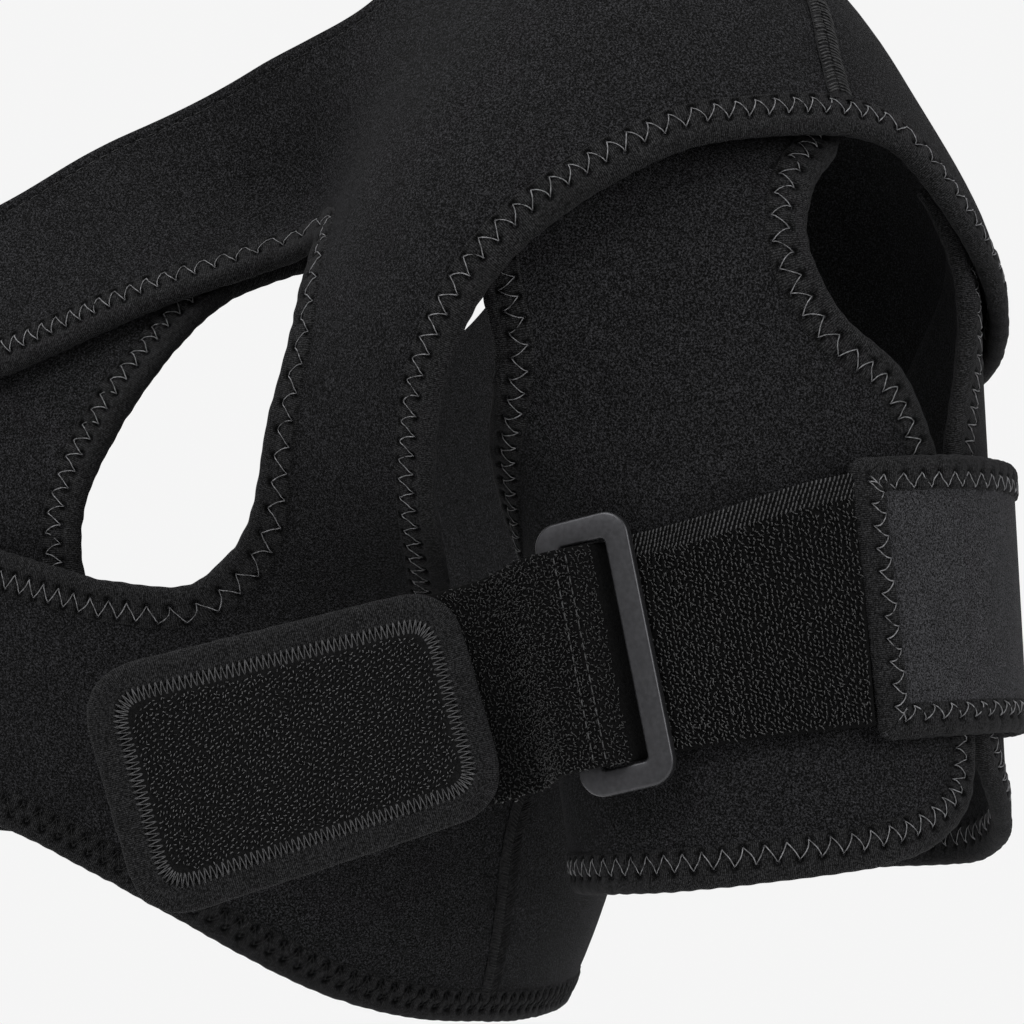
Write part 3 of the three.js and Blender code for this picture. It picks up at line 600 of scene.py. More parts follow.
class Dome:
    """Chart of cloth as seen from a point inside the body."""

    def __init__(self, surface, centre, toward):
        self.surface, self.centre = surface, np.array(centre, float)
        self.out = unit(np.array(toward, float))
        self.right = unit(np.cross(self.out, (0.0, 0.0, 1.0)))
        self.up = np.cross(self.right, self.out)

    def flat(self, p):
        d = unit(p - self.centre)
        tilt = np.arccos(np.clip(d @ self.out, -1, 1))
        across = unit(np.stack([d @ self.right, d @ self.up], -1))
        return across * (DOME_SPREAD * tilt)[:, None]

    def lift(self, q):
        """Places where rays from the centre first leave the body."""
        tilt = np.linalg.norm(q, axis=-1, keepdims=True) / DOME_SPREAD
        across = unit(q)
        way = np.cos(tilt) * self.out + np.sin(tilt) * (across[:, :1] * self.right + across[:, 1:] * self.up)
        reach, inside = np.full(len(q), 8.0), np.full(len(q), True)
        for far in np.arange(8.0, 320.0, 2.0):
            inside &= self.surface.form(self.centre + way * far) < self.surface.height
            reach = np.where(inside, far, reach)
        return self.centre + way * reach[:, None]

    def refit(self, fill, points):
        """Flat places of points that were seated on the cloth after their lift from fill."""
        return self.flat(points)


class Sleeve:
    """Chart of cloth unrolled from the arm."""

    def __init__(self, surface):
        self.surface = surface

    def flat(self, p):
        rel = p - ARM_TOP
        turn = np.unwrap(np.arctan2(rel @ FRONT, rel @ ARM_OUT))
        return np.stack([turn * SLEEVE_ROUND, rel @ ARM_DOWN], -1)

    def lift(self, q):
        return on_arm(np.degrees(q[:, 0] / SLEEVE_ROUND), q[:, 1], self.surface.height)

    def refit(self, fill, points):
        """Flat places of scattered points, whose turns flat could not unwrap."""
        return fill


def within(points, loop, batch=2000):
    """Which flat points lie inside a flat loop."""
    a, b = loop, np.roll(loop, -1, 0)
    climb = np.where(b[:, 1] == a[:, 1], 1e-9, b[:, 1] - a[:, 1])
    inside = np.zeros(len(points), bool)
    for start in range(0, len(points), batch):
        x, y = points[start : start + batch, :1], points[start : start + batch, 1:]
        crosses = (a[:, 1] > y) != (b[:, 1] > y)
        at = a[:, 0] + (y - a[:, 1]) * (b[:, 0] - a[:, 0]) / climb
        inside[start : start + batch] = np.sum(crosses & (x < at), 1) % 2 == 1
    return inside


def in_cloth(points, loops):
    """Which flat points lie inside the first loop and outside the others."""
    keep = within(points, loops[0])
    for hole in loops[1:]:
        keep &= ~within(points, hole)
    return keep


def nearest(points, line, batch=2000):
    """Distance from each point to the nearest point of a line."""
    far = np.empty(len(points))
    for start in range(0, len(points), batch):
        spans = np.linalg.norm(points[start : start + batch, None] - line[None], axis=-1)
        far[start : start + batch] = np.min(spans, 1)
    return far


def flat_fill(flats):
    """Even field of flat points in the cloth, clear of its edges."""
    low, high = flats[0].min(0), flats[0].max(0)
    x, y = np.meshgrid(np.arange(low[0], high[0], CUT_MESH), np.arange(low[1], high[1], CUT_MESH * 0.87))
    x = x + (np.arange(x.shape[0]) % 2)[:, None] * CUT_MESH / 2
    fill = np.stack([x.ravel(), y.ravel()], -1)
    fill = fill[in_cloth(fill, flats)]
    return fill[nearest(fill, np.vstack(flats)) > 0.45 * CUT_MESH]


def hem_rows(surface, chart, hem, inner, loops, rim):
    """Inner points with those near a turned hem replaced by close rows along it."""
    line = edge_line(surface, hem, HEM_STEP)
    way = inward(surface, line, 1, False, 3)
    rows = [inner[nearest(inner, line) > HEM_ZONE]]
    for depth in DEPTHS[1:10]:
        row = surface.seat(line + way * depth, 3)
        clear = nearest(row, np.vstack(loops)) > min(0.9 * depth, 2.5)
        rows.append(row[clear & within(chart.flat(row), rim)])
    return np.vstack(rows)


def triangles(flat, flats):
    """Faces between flat points, of which the loops come first."""
    pairs, start = [], 0
    for loop in flats:
        k = np.arange(len(loop))
        pairs += np.stack([k + start, (k + 1) % len(loop) + start], -1).tolist()
        start += len(loop)
    _, _, found, origins, _, _ = delaunay_2d_cdt([tuple(q) for q in flat.tolist()], pairs, [], 0, 1e-5)
    origin = np.array([o[0] if o else -1 for o in origins])
    faces = np.array([[origin[v] for v in f] for f in found if len(f) == 3])
    faces = faces[(faces >= 0).all(1)]
    return faces[in_cloth(flat[faces].mean(1), flats)]


def cut(name, surface, chart, edges, holes=(), hem=None):
    """Cloth wall cut to an outline, with its turned hem and rounded raw edge."""
    loops = [edge_line(surface, run, CUT_STEP)[:-1] for run in (edges, *holes)]
    flats = [chart.flat(loop) for loop in loops]
    fill = flat_fill(flats)
    inner = surface.seat(chart.lift(fill))
    if hem:
        inner = hem_rows(surface, chart, hem, inner, loops, flats[0])
    points = np.vstack(loops + [inner])
    faces = triangles(np.vstack(flats + [chart.refit(fill, inner)]), flats)
    n = surface.normal(points)
    span = np.cross(points[faces[:, 1]] - points[faces[:, 0]], points[faces[:, 2]] - points[faces[:, 0]])
    if np.sum(span * n[faces[:, 0]]) < 0:
        faces = faces[:, ::-1]
    rise = hem_height(nearest(points, edge_line(surface, hem, 0.5))) if hem else np.zeros(len(points))
    verts = [points + n * (PANEL / 2 + rise)[:, None], points - n * PANEL / 2]
    total = len(points)
    shell = [faces.tolist(), (faces[:, ::-1] + total).tolist()]
    base, start = 2 * total, 0
    for side, loop in zip([1] + [-1] * len(holes), loops):
        size = len(loop)
        rim = raw_edge(loop, -inward(surface, loop, side, True, 2), n[start : start + size])
        verts.append(rim.reshape(-1, 3))
        own = start + np.arange(size)
        rows = np.vstack([own, base + np.arange(3 * size).reshape(3, size), total + own])
        after = np.roll(rows, -1, 1)
        quads = np.stack([rows[:-1], rows[1:], after[1:], after[:-1]], -1).reshape(-1, 4)
        shell.append((quads if side > 0 else quads[:, ::-1]).tolist())
        base += 3 * size
        start += size
    return build(name + "_cloth", np.vstack(verts), sum(shell, []), NEOPRENE, "neoprene", [name])


opening = plain(OPENING_TOP, OPENING_APEX, OPENING_LOW, OPENING_TURN, OPENING_SIDE, OPENING_CORNER)
front_outline = [
    (NECK_FRONT, 0), (END_FRONT, 0), (HEM_FRONT, 0), (SIDE, GAP), (ARMHOLE_FRONT, GAP), (SEAM[::-1], GAP),
]
back_outline = [
    (ARMHOLE_BACK, -GAP), (SIDE[::-1], -GAP), (HEM_BACK, -GAP), (END_BACK, 0), (NECK_BACK, 0), (SEAM, -GAP),
]
cuff_outline = plain(
    CUFF_FRONT_TOP, CUFF_ARMPIT, CUFF_BACK_TOP, CUFF_BACK_EDGE, CUFF_BOTTOM, CUFF_FRONT_EDGE
)
front_chart = Dome(body, (-90, 30, -130), (0.25, -1, 0.2))
back_chart = Dome(body, (-90, -20, -130), (0.3, 1, 0.2))
cloth = {
    "body_front": cut("body_front", body, front_chart, front_outline, [opening], plain(NECK_FRONT)),
    "body_back": cut("body_back", body, back_chart, back_outline, (), plain(NECK_BACK)),
    "arm_cuff": cut("arm_cuff", sleeve, Sleeve(sleeve), cuff_outline),
    "chest_strap": panel("chest_strap", strap, [
        (STRAP_TOP, 32, 3.5, 1), (STRAP_BACK_END, 2, 3.5, 0), (STRAP_BACK_REST, 2, 3.5, 0),
        (STRAP_LOW, 29, 3.5, 1), (STRAP_END, 11, 9, 0),
    ], 2, SPINE_STRAP, 8, 28, 6),
}


# Bindings.
class Stitched:
    """Folded binding over a cloth edge with its zigzag of thread."""

    TOPS = np.array([0, 0.2, 0.5, 0.9, 1.3, 1.7, 2.2, 2.8, 3.4, 4.0, 4.6, 5.1, 5.6, 6.1, 6.6, 7.1])
    FOLD_START = 1.7  # depth from the edge at which the face turns into the fold
    THICK, TUCK = 0.78, 0.12  # of the binding over the cloth, and of its raw edge into it
    HOLE = 0.95  # spread of a needle hole
    VALLEY, VALLEY_WIDE = 0.26, 0.45  # groove that the thread pulls into the face
    PUFF, PUFF_WIDE = 0.22, 1.9  # swelling between the rows of holes
    ROLL, ROLL_AT, ROLL_WIDE = 0.16, 1.6, 1.1  # swelling beside the fold
    FOLD_TURNS, FOLD_REACH = np.radians(np.linspace(14, 166, 9)), 1.02
    DIP, DIP_WIDE = 0.55, 0.1  # of the thread's ends into the holes
    THREAD_POINTS = 6

    def __init__(self, strip, half, pitch, closed, rows=(0.38, 0.83), deep=1.15, swell=0.07):
        self.depths, self.at, self.normals, self.way = strip
        self.half, self.closed, self.deep, self.swell = half, closed, deep, swell
        self.width = self.depths[-1]
        line = self.at[0]
        run = lengths(np.vstack([line, line[:1]]) if closed else line)
        self.u = run[: len(line)]
        self.pitch = np.broadcast_to(np.asarray(pitch, float), len(line))
        gaps = np.diff(run) if closed else np.diff(np.append(run, run[-1]))
        phase = np.cumsum(gaps / self.pitch) - gaps[0] / self.pitch[0]
        total = phase[-1] + gaps[-1] / self.pitch[-1]
        self.phase = phase * round(total) / total if closed else phase
        self.total = round(total) if closed else total
        self.low, self.high = rows[0] * self.width, rows[1] * self.width

    def place(self, depth):
        """Middle points and normals of every station at one depth."""
        k = min(int(depth / self.depths[1]), 2)
        t = depth / self.depths[1] - k
        p = self.at[k] * (1 - t) + self.at[k + 1] * t
        return p, unit(self.normals[k] * (1 - t) + self.normals[k + 1] * t)

    def relief(self, depth, waves):
        """Height of the binding's face at one depth, and the painted shade for its needle holes and stitch
        groove there.
        """
        q = self.phase - np.floor(self.phase)
        leg = self.low + (self.high - self.low) * np.abs(2 * q - 1)
        lean = self.pitch / 2 / np.hypot(self.pitch / 2, self.high - self.low)
        valley = self.VALLEY * self.deep * bell((depth - leg) * lean, self.VALLEY_WIDE)
        at_high, at_low = np.minimum(q, 1 - q) * self.pitch, (q - 0.5) * self.pitch
        hole = np.exp(-(at_high**2 + (depth - self.high) ** 2) / self.HOLE)
        hole = hole + np.exp(-(at_low**2 + (depth - self.low) ** 2) / self.HOLE)
        middle = (self.low + self.high) / 2
        puff = self.PUFF * bell(depth - middle, self.PUFF_WIDE)
        roll = self.ROLL * bell(depth - self.ROLL_AT, self.ROLL_WIDE)
        top = self.THICK + (puff + roll) + 0.07 * waves - valley - self.deep * hole
        lip = smooth_step(self.width - depth + 0.06 * waves, 0, 0.7)
        # painted shade for the needle holes and the thread's groove, which the material reads as a mark
        hole_shade = np.clip(self.deep * hole + 0.9 * valley, 0, 1) * lip
        return self.half - self.TUCK + (top + self.TUCK) * lip, hole_shade

    def cloth(self, name, mat, slot, stands_for):
        size = len(self.u)
        bare = 0 * self.u
        waves = soft_noise(size, self.closed)
        tops = self.width - self.TOPS
        tops = tops[tops > self.FOLD_START]
        rows, across, hole_shades = [], [], []
        for depth in tops:
            inside, n_inside = self.place(depth)
            start, hole_shade = self.relief(depth, waves)
            rows.append(inside + n_inside * start[:, None])
            across.append(self.width - depth)
            hole_shades.append(hole_shade)
        q = self.phase - np.floor(self.phase)
        reach = self.FOLD_REACH + self.swell * np.cos(2 * np.pi * q) + 0.05 * waves
        edge, n = self.place(0)
        for angle in self.FOLD_TURNS:
            depth = tops[-1] - (tops[-1] + reach) * np.sin(angle) ** 0.85
            t = np.clip(depth / tops[-1], 0, 1)[:, None]
            p = edge * (1 - t) + inside * t + self.way * np.minimum(depth, 0)[:, None]
            rows.append(p + unit(n * (1 - t) + n_inside * t) * (start * np.cos(angle))[:, None])
            across.append(across[-1] + 0.55)
            hole_shades.append(bare)
        for depth in tops[::-4]:
            p, n = self.place(depth)
            height, hole_shade = self.relief(depth, waves)
            rows.append(p - n * height[:, None])
            across.append(across[-1] + 1.6)
            hole_shades.append(hole_shade)
        p, n = self.place(self.width)
        rows.append(p - n * (self.half - self.TUCK))
        across.append(across[-1] + 0.5)
        hole_shades.append(bare)
        along = np.broadcast_to(self.u, (len(rows), size))
        across = np.broadcast_to(np.array(across)[:, None], (len(rows), size))
        facing = np.cross(rows[0][1] - rows[0][0], rows[3][0] - rows[0][0])
        faces = strip_faces(len(rows), size, self.closed, flip=np.sum(facing * self.normals[-1][0]) < 0)
        # the hole shade mark is painted shade, which darkens the binding's colour in its holes
        marks = {"along": along, "across": across, "hole_shade": np.stack(hole_shades)}
        return build(name, np.vstack(rows), faces, mat, slot, stands_for, **marks)

    def spot(self, phase, depth):
        """Middle point and normal at a stitch count along the edge and a depth."""
        count = len(self.u)
        grow = np.append(self.phase, self.total) if self.closed else self.phase
        k = np.interp(phase, grow, np.arange(len(grow)))
        low = np.floor(k).astype(int)
        t = (k - low)[..., None]
        near, far = low % count, (low + 1) % count if self.closed else np.minimum(low + 1, count - 1)
        d = np.clip(depth, 0, self.width) / self.depths[1]
        j = np.minimum(d.astype(int), 2)
        s = (d - j)[..., None]

        def mix(grid):
            a = grid[j, near] * (1 - t) + grid[j, far] * t
            b = grid[j + 1, near] * (1 - t) + grid[j + 1, far] * t
            return a * (1 - s) + b * s

        return mix(self.at), unit(mix(self.normals))

    def thread(self, name, mat, slot, radius=0.125, faces=(1, -1), bow=0.3, lift=0.86):
        """Zigzag of thread on one or both faces, dipping into the needle holes."""
        count = int(self.total)
        k = np.arange(count)[:, None]
        t = np.linspace(0, 1, self.THREAD_POINTS)[None]
        arch = np.sin(np.pi * t)
        height = self.half + lift - self.DIP * bell(np.minimum(t, 1 - t), self.DIP_WIDE)
        points, quads, base = [], [], 0
        for face in faces:
            for leg in (0, 1):
                jitter = rng.normal(0, 0.035, (2, count))[..., None]
                phase = k + 0.5 * leg + 0.5 * t + jitter[0] * arch + bow * 0.3 * arch
                share = t if leg else 1 - t
                p, n = self.spot(phase, self.low + (self.high - self.low) * share + 0.3 * jitter[1])
                made, closed = tubes(p + face * n * height[..., None], face * n, radius)
                points.append(made)
                quads += [[v + base for v in f] for f in closed]
                base += len(made)
        return build(name, np.vstack(points), quads, mat, slot)


def trim(name, surface, edges, side, closed, pitch, nodes=None, thread=THREAD):
    line = edge_line(surface, edges)
    if closed:
        line = line[:-1]
    strip = on_layer(surface, line, side, closed, BINDING)
    made = Stitched(strip, PANEL / 2, pitch(line) if callable(pitch) else pitch, closed)
    made.cloth(name + "_cloth", LINING, "binding", nodes or [name])
    made.thread(name + "_thread", thread, "binding")


def opening_pitch(line):
    """Stitches stand closer on the two long edges than at the shoulder side."""
    return 3.9 + 2.2 * smooth_step(line[:, 0], -95, -55)


HEM_NODES = ["hem_binding_front", "hem_binding_back"]
ARMHOLE_NODES = ["armhole_binding_front", "armhole_binding_back"]
trim("opening_binding", body, opening, -1, True, opening_pitch)
# the hem's thread is the darker copy, painted shade
trim("hem_binding", body, plain(HEM_FRONT, HEM_BACK), 1, False, 4.1, HEM_NODES, PAINTED_SHADE_THREAD)
trim("armhole_binding", body, plain(ARMHOLE_FRONT, ARMHOLE_BACK), 1, True, 4.75, ARMHOLE_NODES)
trim("strap_end_binding", strap, plain(STRAP_END), 1, False, 4.1)
trim("cuff_top_binding", sleeve, plain(CUFF_ARMPIT), 1, False, 4.7)
trim("cuff_edge_binding", sleeve, plain(CUFF_BACK_EDGE, CUFF_BOTTOM, CUFF_FRONT_EDGE), 1, False, 4.7)

# Run stitches on the turned hems.
STITCH, STITCH_GAP, STITCH_RADIUS = 2.5, 0.8, 0.16


def run_stitches(name, surface, table):
    """Single row of straight stitches inside an edge."""
    line = edge_line(surface, plain(table))
    row = surface.seat(line + inward(surface, line, 1, False) * STITCH_DEPTH)
    s = lengths(row)
    starts = np.arange(1.0, s[-1] - STITCH, STITCH + STITCH_GAP)
    t = np.linspace(0, 1, 6)
    p = follow(row, s, starts[:, None] + STITCH * t[None])
    n = surface.normal(p)
    path = p + n * (PANEL / 2 + 0.12 - 0.35 * np.abs(2 * t - 1) ** 4)[None, :, None]
    return build(name, *tubes(path, n, STITCH_RADIUS), DARK_THREAD, "neoprene")


neck_stitches = [
    run_stitches("neck_stitches_front", body, NECK_FRONT),
    run_stitches("neck_stitches_back", body, NECK_BACK),
]
strap_stitches = [
    run_stitches("strap_stitches_top", strap, STRAP_TOP),
    run_stitches("strap_stitches_low", strap, STRAP_LOW),
]

# Flat seams: tape with two beads of slanting stitches.
TAPE_HALF, TAPE_THICK, BEAD_AT = 3.25, 0.25, 1.62
SEAM_PITCH, SEAM_SLANT, SEAM_REACH = 0.95, 0.75, 1.42  # of the stitches, half their lean and half their width
SEAM_ENDS = 12  # points of the edge left bare at each end


def flat_seam(name, table, rise, radius, thread):
    line = edge_line(body, plain(table))[SEAM_ENDS:-SEAM_ENDS]
    n = body.normal(line)
    side = unit(np.cross(n, np.gradient(line, axis=0)))
    rows = []
    for offset in np.linspace(-TAPE_HALF, TAPE_HALF, 15):
        bead = rise * np.abs(np.sin(np.pi * offset / TAPE_HALF)) ** 0.7
        lift = PANEL / 2 + TAPE_THICK + bead + 0.08 * soft_noise(len(line), False, 5)
        rows.append(body.seat(line + side * offset, 3) + n * lift[:, None])
    flip = np.sum(np.cross(rows[0][1] - rows[0][0], rows[1][0] - rows[0][0]) * n[0]) < 0
    faces = strip_faces(len(rows), len(line), False, flip=flip)
    tape = build(name + "_tape", np.vstack(rows), faces, TAPE, "binding", [name])
    s = lengths(line)
    starts = np.arange(0.5, s[-1] - 1.5, SEAM_PITCH)[:, None]
    t = np.linspace(-1, 1, 7)[None]
    paths, ups = [], []
    for centre in (-BEAD_AT, BEAD_AT):
        at = starts + SEAM_SLANT * t * np.sign(centre) + rng.normal(0, 0.14, starts.shape)
        p, up, out = (follow(grid, s, at) for grid in (line, n, side))
        off = centre + SEAM_REACH * t + rng.normal(0, 0.1, starts.shape)
        lift = PANEL / 2 + 0.3 + (rise + 0.05) * np.cos(t * 1.25) + rng.normal(0, 0.06, starts.shape)
        paths.append(p + unit(out) * off[..., None] + unit(up) * lift[..., None])
        ups.append(unit(up))
    points, faces = tubes(np.vstack(paths), np.vstack(ups), radius)
    build(name + "_thread", points, faces, thread, "binding")


flat_seam("shoulder_seam", SEAM, 0.75, 0.24, DARK_THREAD)
# the side seam's thread is the darker copy, painted shade
flat_seam("side_seam", SIDE, 0.3, 0.13, PAINTED_SHADE_THREAD)

# Arm strap base: a strip round the outer side of the arm, by distances round and down it.
BASE_ROUND = 61.5
BASE_BACK = np.radians(-112) * BASE_ROUND
BASE_TOP, BASE_LOW = 39.6, 100.4
BASE_BINDING, BASE_CORNER = 7.0, 2.5
BASE_BOW = 0.012  # how far the top edge drops for each degree from the outer side
END_TURN, END_DROP, END_SLANT = 26, 40, 30.5  # turn of the end at one drop, and drop for each degree less
END_LEAN = np.radians(2)  # of the end's binding


def base_at(x, drop):
    return on_arm(np.degrees(x / BASE_ROUND), drop, STRAP)


def base_top(x):
    return BASE_TOP + BASE_BOW * np.abs(np.degrees(x / BASE_ROUND))


def base_low(x):
    return BASE_LOW + 0 * x


def base_end(drop):
    return np.radians(END_TURN - (drop - END_DROP) / END_SLANT) * BASE_ROUND


def base_cloth():
    across = np.concatenate([[0, 0.01], np.linspace(0.03, 0.97, 26), [0.99, 1]])
    along = np.linspace(0, 1, 120)
    v, u = np.meshgrid(across, along, indexing="ij")
    drop = base_top(0 * u) * (1 - v) + base_low(0 * u) * v
    x = BASE_BACK + (base_end(drop) - BASE_BACK) * u
    drop = base_top(x) * (1 - v) + base_low(x) * v
    grid = base_at(x, drop)
    n = base_layer.normal(grid)
    rows, size, _ = grid.shape
    outer, inner = grid + n * PANEL / 2, grid - n * PANEL / 2
    points = np.vstack([outer.reshape(-1, 3), inner.reshape(-1, 3)])
    faces = [strip_faces(rows, size, False, flip=True), strip_faces(rows, size, False, offset=rows * size)]
    ring = np.concatenate([
        np.arange(size), np.arange(1, rows) * size + size - 1,
        (rows - 1) * size + np.arange(size - 2, -1, -1), np.arange(rows - 2, 0, -1) * size,
    ])
    after = np.roll(ring, -1)
    faces.append(np.stack([ring, after, after + rows * size, ring + rows * size], -1))
    # the strap base wears the lighter knit, which is partly painted light
    return build("strap_base_cloth", points, np.vstack(faces), PALE_KNIT_AND_PAINTED_LIGHT, "neoprene", ["strap_base"])


def base_trim():
    long = np.linspace(BASE_BACK, base_end(END_DROP) - BASE_CORNER, 400)
    back = long[::-1]
    slant = END_LEAN * BASE_ROUND * (back - BASE_BACK) / (long[-1] - BASE_BACK)
    top = np.stack([long, base_top(long)], -1)
    low = np.stack([back - slant, base_low(long)], -1)
    arc = np.radians(np.linspace(0, 90, 12))[1:-1]
    turned, dropped = BASE_CORNER * np.sin(arc), BASE_CORNER * (1 - np.cos(arc))
    first = top[-1] + np.stack([turned, dropped], -1)
    second = low[0] + np.stack([BASE_CORNER * np.cos(arc), -BASE_CORNER * (1 - np.sin(arc))], -1)
    path = spaced(np.vstack([top, first, second, low]), 560)
    ahead = np.gradient(path, axis=0)
    way = unit(np.stack([-ahead[:, 1], ahead[:, 0]], -1))
    depths = np.linspace(0, BASE_BINDING, 4)
    at = []
    for d in depths:
        q = path + way * d
        q[:, 0] = np.minimum(q[:, 0], base_end(q[:, 1]) - d)
        q[:, 1] = np.clip(q[:, 1], base_top(q[:, 0]) + d, base_low(q[:, 0]) - d)
        at.append(base_at(q[:, 0], q[:, 1]))
    at = np.stack(at)
    strip = (depths, at, base_layer.normal(at), unit(at[1] - at[0]))
    made = Stitched(strip, PANEL / 2, 5.0, False, rows=(0.42, 0.9), deep=0.8)
    return [
        made.cloth("strap_base_binding_cloth", LINING, "binding", ["strap_base_binding"]),
        made.thread("strap_base_binding_thread", THREAD, "binding", radius=0.14, bow=0.5),
    ]


cloth["strap_base"] = base_cloth()
base_trim()

# Ring.
RING_LONG, RING_SHORT, RING_BAR, RING_ROUND = 62.0, 22.6, 5.8, 5.6
RING_RIM = [(0, 0.85), (0.1, 1.2), (0.32, 1.42), (0.65, 1.5)]  # depth from the outer edge, height
RING_INNER_RIM = [(0.6, 1.5), (0.3, 1.42), (0.1, 1.2), (0, 0.85)]  # depth from the inner edge, height
RING_AT, RING_LEAN = (6.8, 61.5, 76.0), 0.105  # place across and down the arm
facing = np.radians(67)
ring_out = ARM_OUT * np.cos(facing) + FRONT * np.sin(facing)
ring_side = ARM_OUT * np.sin(facing) - FRONT * np.cos(facing)
ring_down = unit(ARM_DOWN + ring_side * RING_LEAN)
ring_across = unit(np.cross(ring_down, ring_out))
ring_across = ring_across * np.sign(ring_across @ ring_side)
ring_centre = across_arm(*RING_AT)


def ring():
    face = RING_RIM + [(RING_BAR - depth, height) for depth, height in RING_INNER_RIM]
    rows = []
    for depth, height in face + [(depth, -height) for depth, height in face[::-1]]:
        corner = max(RING_ROUND - depth, 1.3)
        x, y = RING_SHORT / 2 - depth - corner, RING_LONG / 2 - depth - corner
        loop = []
        for k, (sx, sy) in enumerate(((1, 1), (-1, 1), (-1, -1), (1, -1))):
            angle = np.radians(90 * k + np.linspace(0, 90, 12))
            loop.append(np.stack([sx * x + corner * np.cos(angle), sy * y + corner * np.sin(angle)], -1))
        loop = np.vstack(loop)
        rows.append(ring_centre + loop[:, :1] * ring_across - loop[:, 1:] * ring_down + height * ring_out)
    faces = strip_faces(len(rows), len(rows[0]), wrap=True)
    build("ring_metal", np.vstack(rows), faces, METAL, "ring_metal", ["ring"])


ring()

# Hook tab.
TAB_LONG, TAB_WIDE, TAB_NARROW, TAB_CORNER, TAB_THICK = 86.0, 57.0, 53.0, 14.0, 2.4
TAB_CENTRE = np.array([-3.0, -105.0, -193.0])
TAB_RISE, TAB_SWING = np.radians(15.6), np.radians(9)
PATCH_LOW, PATCH_HIGH = TAB_THICK / 2 + 0.2, TAB_THICK / 2 + 1.35
HOOK_MARGIN, HOOK_CORNER, HOOK_PITCH = 9.4, 6, 1.0
tab_along = unit(
    view_side * np.cos(TAB_RISE) * np.cos(TAB_SWING) - view_out * np.sin(TAB_SWING)
    + np.array([0, 0, np.sin(TAB_RISE)])
)
tab_out = unit(view_out - tab_along * (view_out @ tab_along))
tab_up = np.cross(tab_out, tab_along)


def in_tab(flat, height):
    level = np.asarray(height)[..., None] * tab_out
    return TAB_CENTRE + flat[..., :1] * tab_along + flat[..., 1:2] * tab_up + level


def tab_outline(margin, step=0.5):
    """Tab's rounded outline, narrower at the webbing's end, moved in by a margin."""
    half, r = TAB_LONG / 2 - margin, TAB_CORNER - margin
    free, near = TAB_WIDE / 2 - margin, TAB_NARROW / 2 - margin
    corners = [
        ((half, near - r), (half, near), (half - r, near)),
        ((r - half, free), (-half, free), (-half, free - r)),
        ((-half, r - free), (-half, -free), (r - half, -free)),
        ((half - r, -near), (half, -near), (half, r - near)),
    ]
    t = np.linspace(0, 1, 24)[:, None]
    middle = np.array([[half, 0.0]])
    rounds = [a * (1 - t) ** 2 + 2 * b * t * (1 - t) + c * t**2 for a, b, c in np.array(corners)]
    line = np.vstack([middle, *rounds, middle])
    return spaced(line, int(lengths(line)[-1] / step))[:-1]


def plate(name, margin, low, high, mat, slot, stands_for):
    """Flat rounded plate with a softened rim."""
    line = tab_outline(margin, 1.0)
    levels = [(1.0, low), (1.0, high - 0.3), (0.994, high - 0.08), (0.985, high), (0.5, high)]
    rows = [in_tab(line * k, np.full(len(line), h)) for k, h in levels]
    centres = [in_tab(np.zeros((1, 2)), np.full(1, h)) for h in (low, high)]
    size, count = len(line), len(levels)
    k = np.arange(size)
    n = (k + 1) % size
    top = np.stack([(count - 1) * size + k, (count - 1) * size + n, np.full(size, count * size + 1)], -1)
    under = np.stack([n, k, np.full(size, count * size)], -1)
    faces = list(strip_faces(count, size)) + list(top) + list(under)
    return build(name, np.vstack(rows + centres), faces, mat, slot, stands_for)


class Flat:
    """Plane of the hook tab."""

    def normal(self, p):
        return np.broadcast_to(tab_out, np.shape(p)).copy()

    def seat(self, p, rounds=0):
        return p - ((p - TAB_CENTRE) @ tab_out)[..., None] * tab_out


def tab_strip(margin, width):
    line = tab_outline(margin)
    return on_layer(Flat(), in_tab(line, np.zeros(len(line))), 1, True, width)


def tab_trim():
    made = Stitched(tab_strip(1.15, 6.0), TAB_THICK / 2, 3.1, True, rows=(0.62, 0.9), deep=0.0, swell=0.0)
    dense = Stitched(tab_strip(5.2, 5.0), TAB_THICK / 2, 1.35, True, rows=(0.1, 0.82), deep=0.0)
    return [
        made.cloth("tab_binding_cloth", LINING, "binding", ["tab_binding"]),
        dense.thread("tab_zigzag", TAB_THREAD, "binding", radius=0.14, faces=(1,), bow=0.2, lift=1.5),
        made.thread("tab_back_zigzag", THREAD, "binding", radius=0.13, faces=(-1,), lift=0.9),
    ]


def hook_field():
    """Diagonal rows of small moulded hooks."""
    reach = np.arange(-60, 60, HOOK_PITCH)
    row, step = np.meshgrid(reach, reach, indexing="ij")
    spots = np.stack([0.92 * step + 0.38 * row, 0.38 * step - 0.92 * row], -1).reshape(-1, 2)
    spots = spots + rng.normal(0, 0.07, (len(spots), 2))
    half = TAB_LONG / 2 - HOOK_MARGIN
    wide = TAB_WIDE / 2 - HOOK_MARGIN - (spots[:, 0] + half) / (2 * half) * 2
    x, y = np.abs(spots).T
    corner = np.hypot(np.maximum(x - half + HOOK_CORNER, 0), np.maximum(y - wide + HOOK_CORNER, 0))
    spots = spots[(x < half) & (y < wide) & (corner < HOOK_CORNER)]
    lean = rng.normal(0, 0.5, len(spots)) + np.where(rng.random(len(spots)) < 0.5, 0.6, 3.7)
    way = np.stack([np.cos(lean), np.sin(lean)], -1)
    t = np.radians(np.array([-20, 25, 70, 115, 165]))
    flat = spots[:, None] + way[:, None] * (0.3 - 0.3 * np.cos(t))[None, :, None]
    height = TAB_THICK / 2 + 1.3 + 0.62 * np.sin(np.maximum(t, 0)) + 0.1 * rng.random((len(spots), 1))
    path = in_tab(flat, height)
    points, faces = tubes(path, np.broadcast_to(tab_along, path.shape), 0.12)
    return build("hook_patch_hooks", points, faces, HOOKS, "hook")


cloth["tab_base"] = plate(
    "tab_base_cloth", 1.3, -TAB_THICK / 2, TAB_THICK / 2, NEOPRENE, "neoprene", ["tab_base"]
)
patch = plate("hook_patch_ground", 7.1, PATCH_LOW, PATCH_HIGH, HOOK_GROUND, "hook", ["hook_patch"])
tab_trim()
hooks = hook_field()

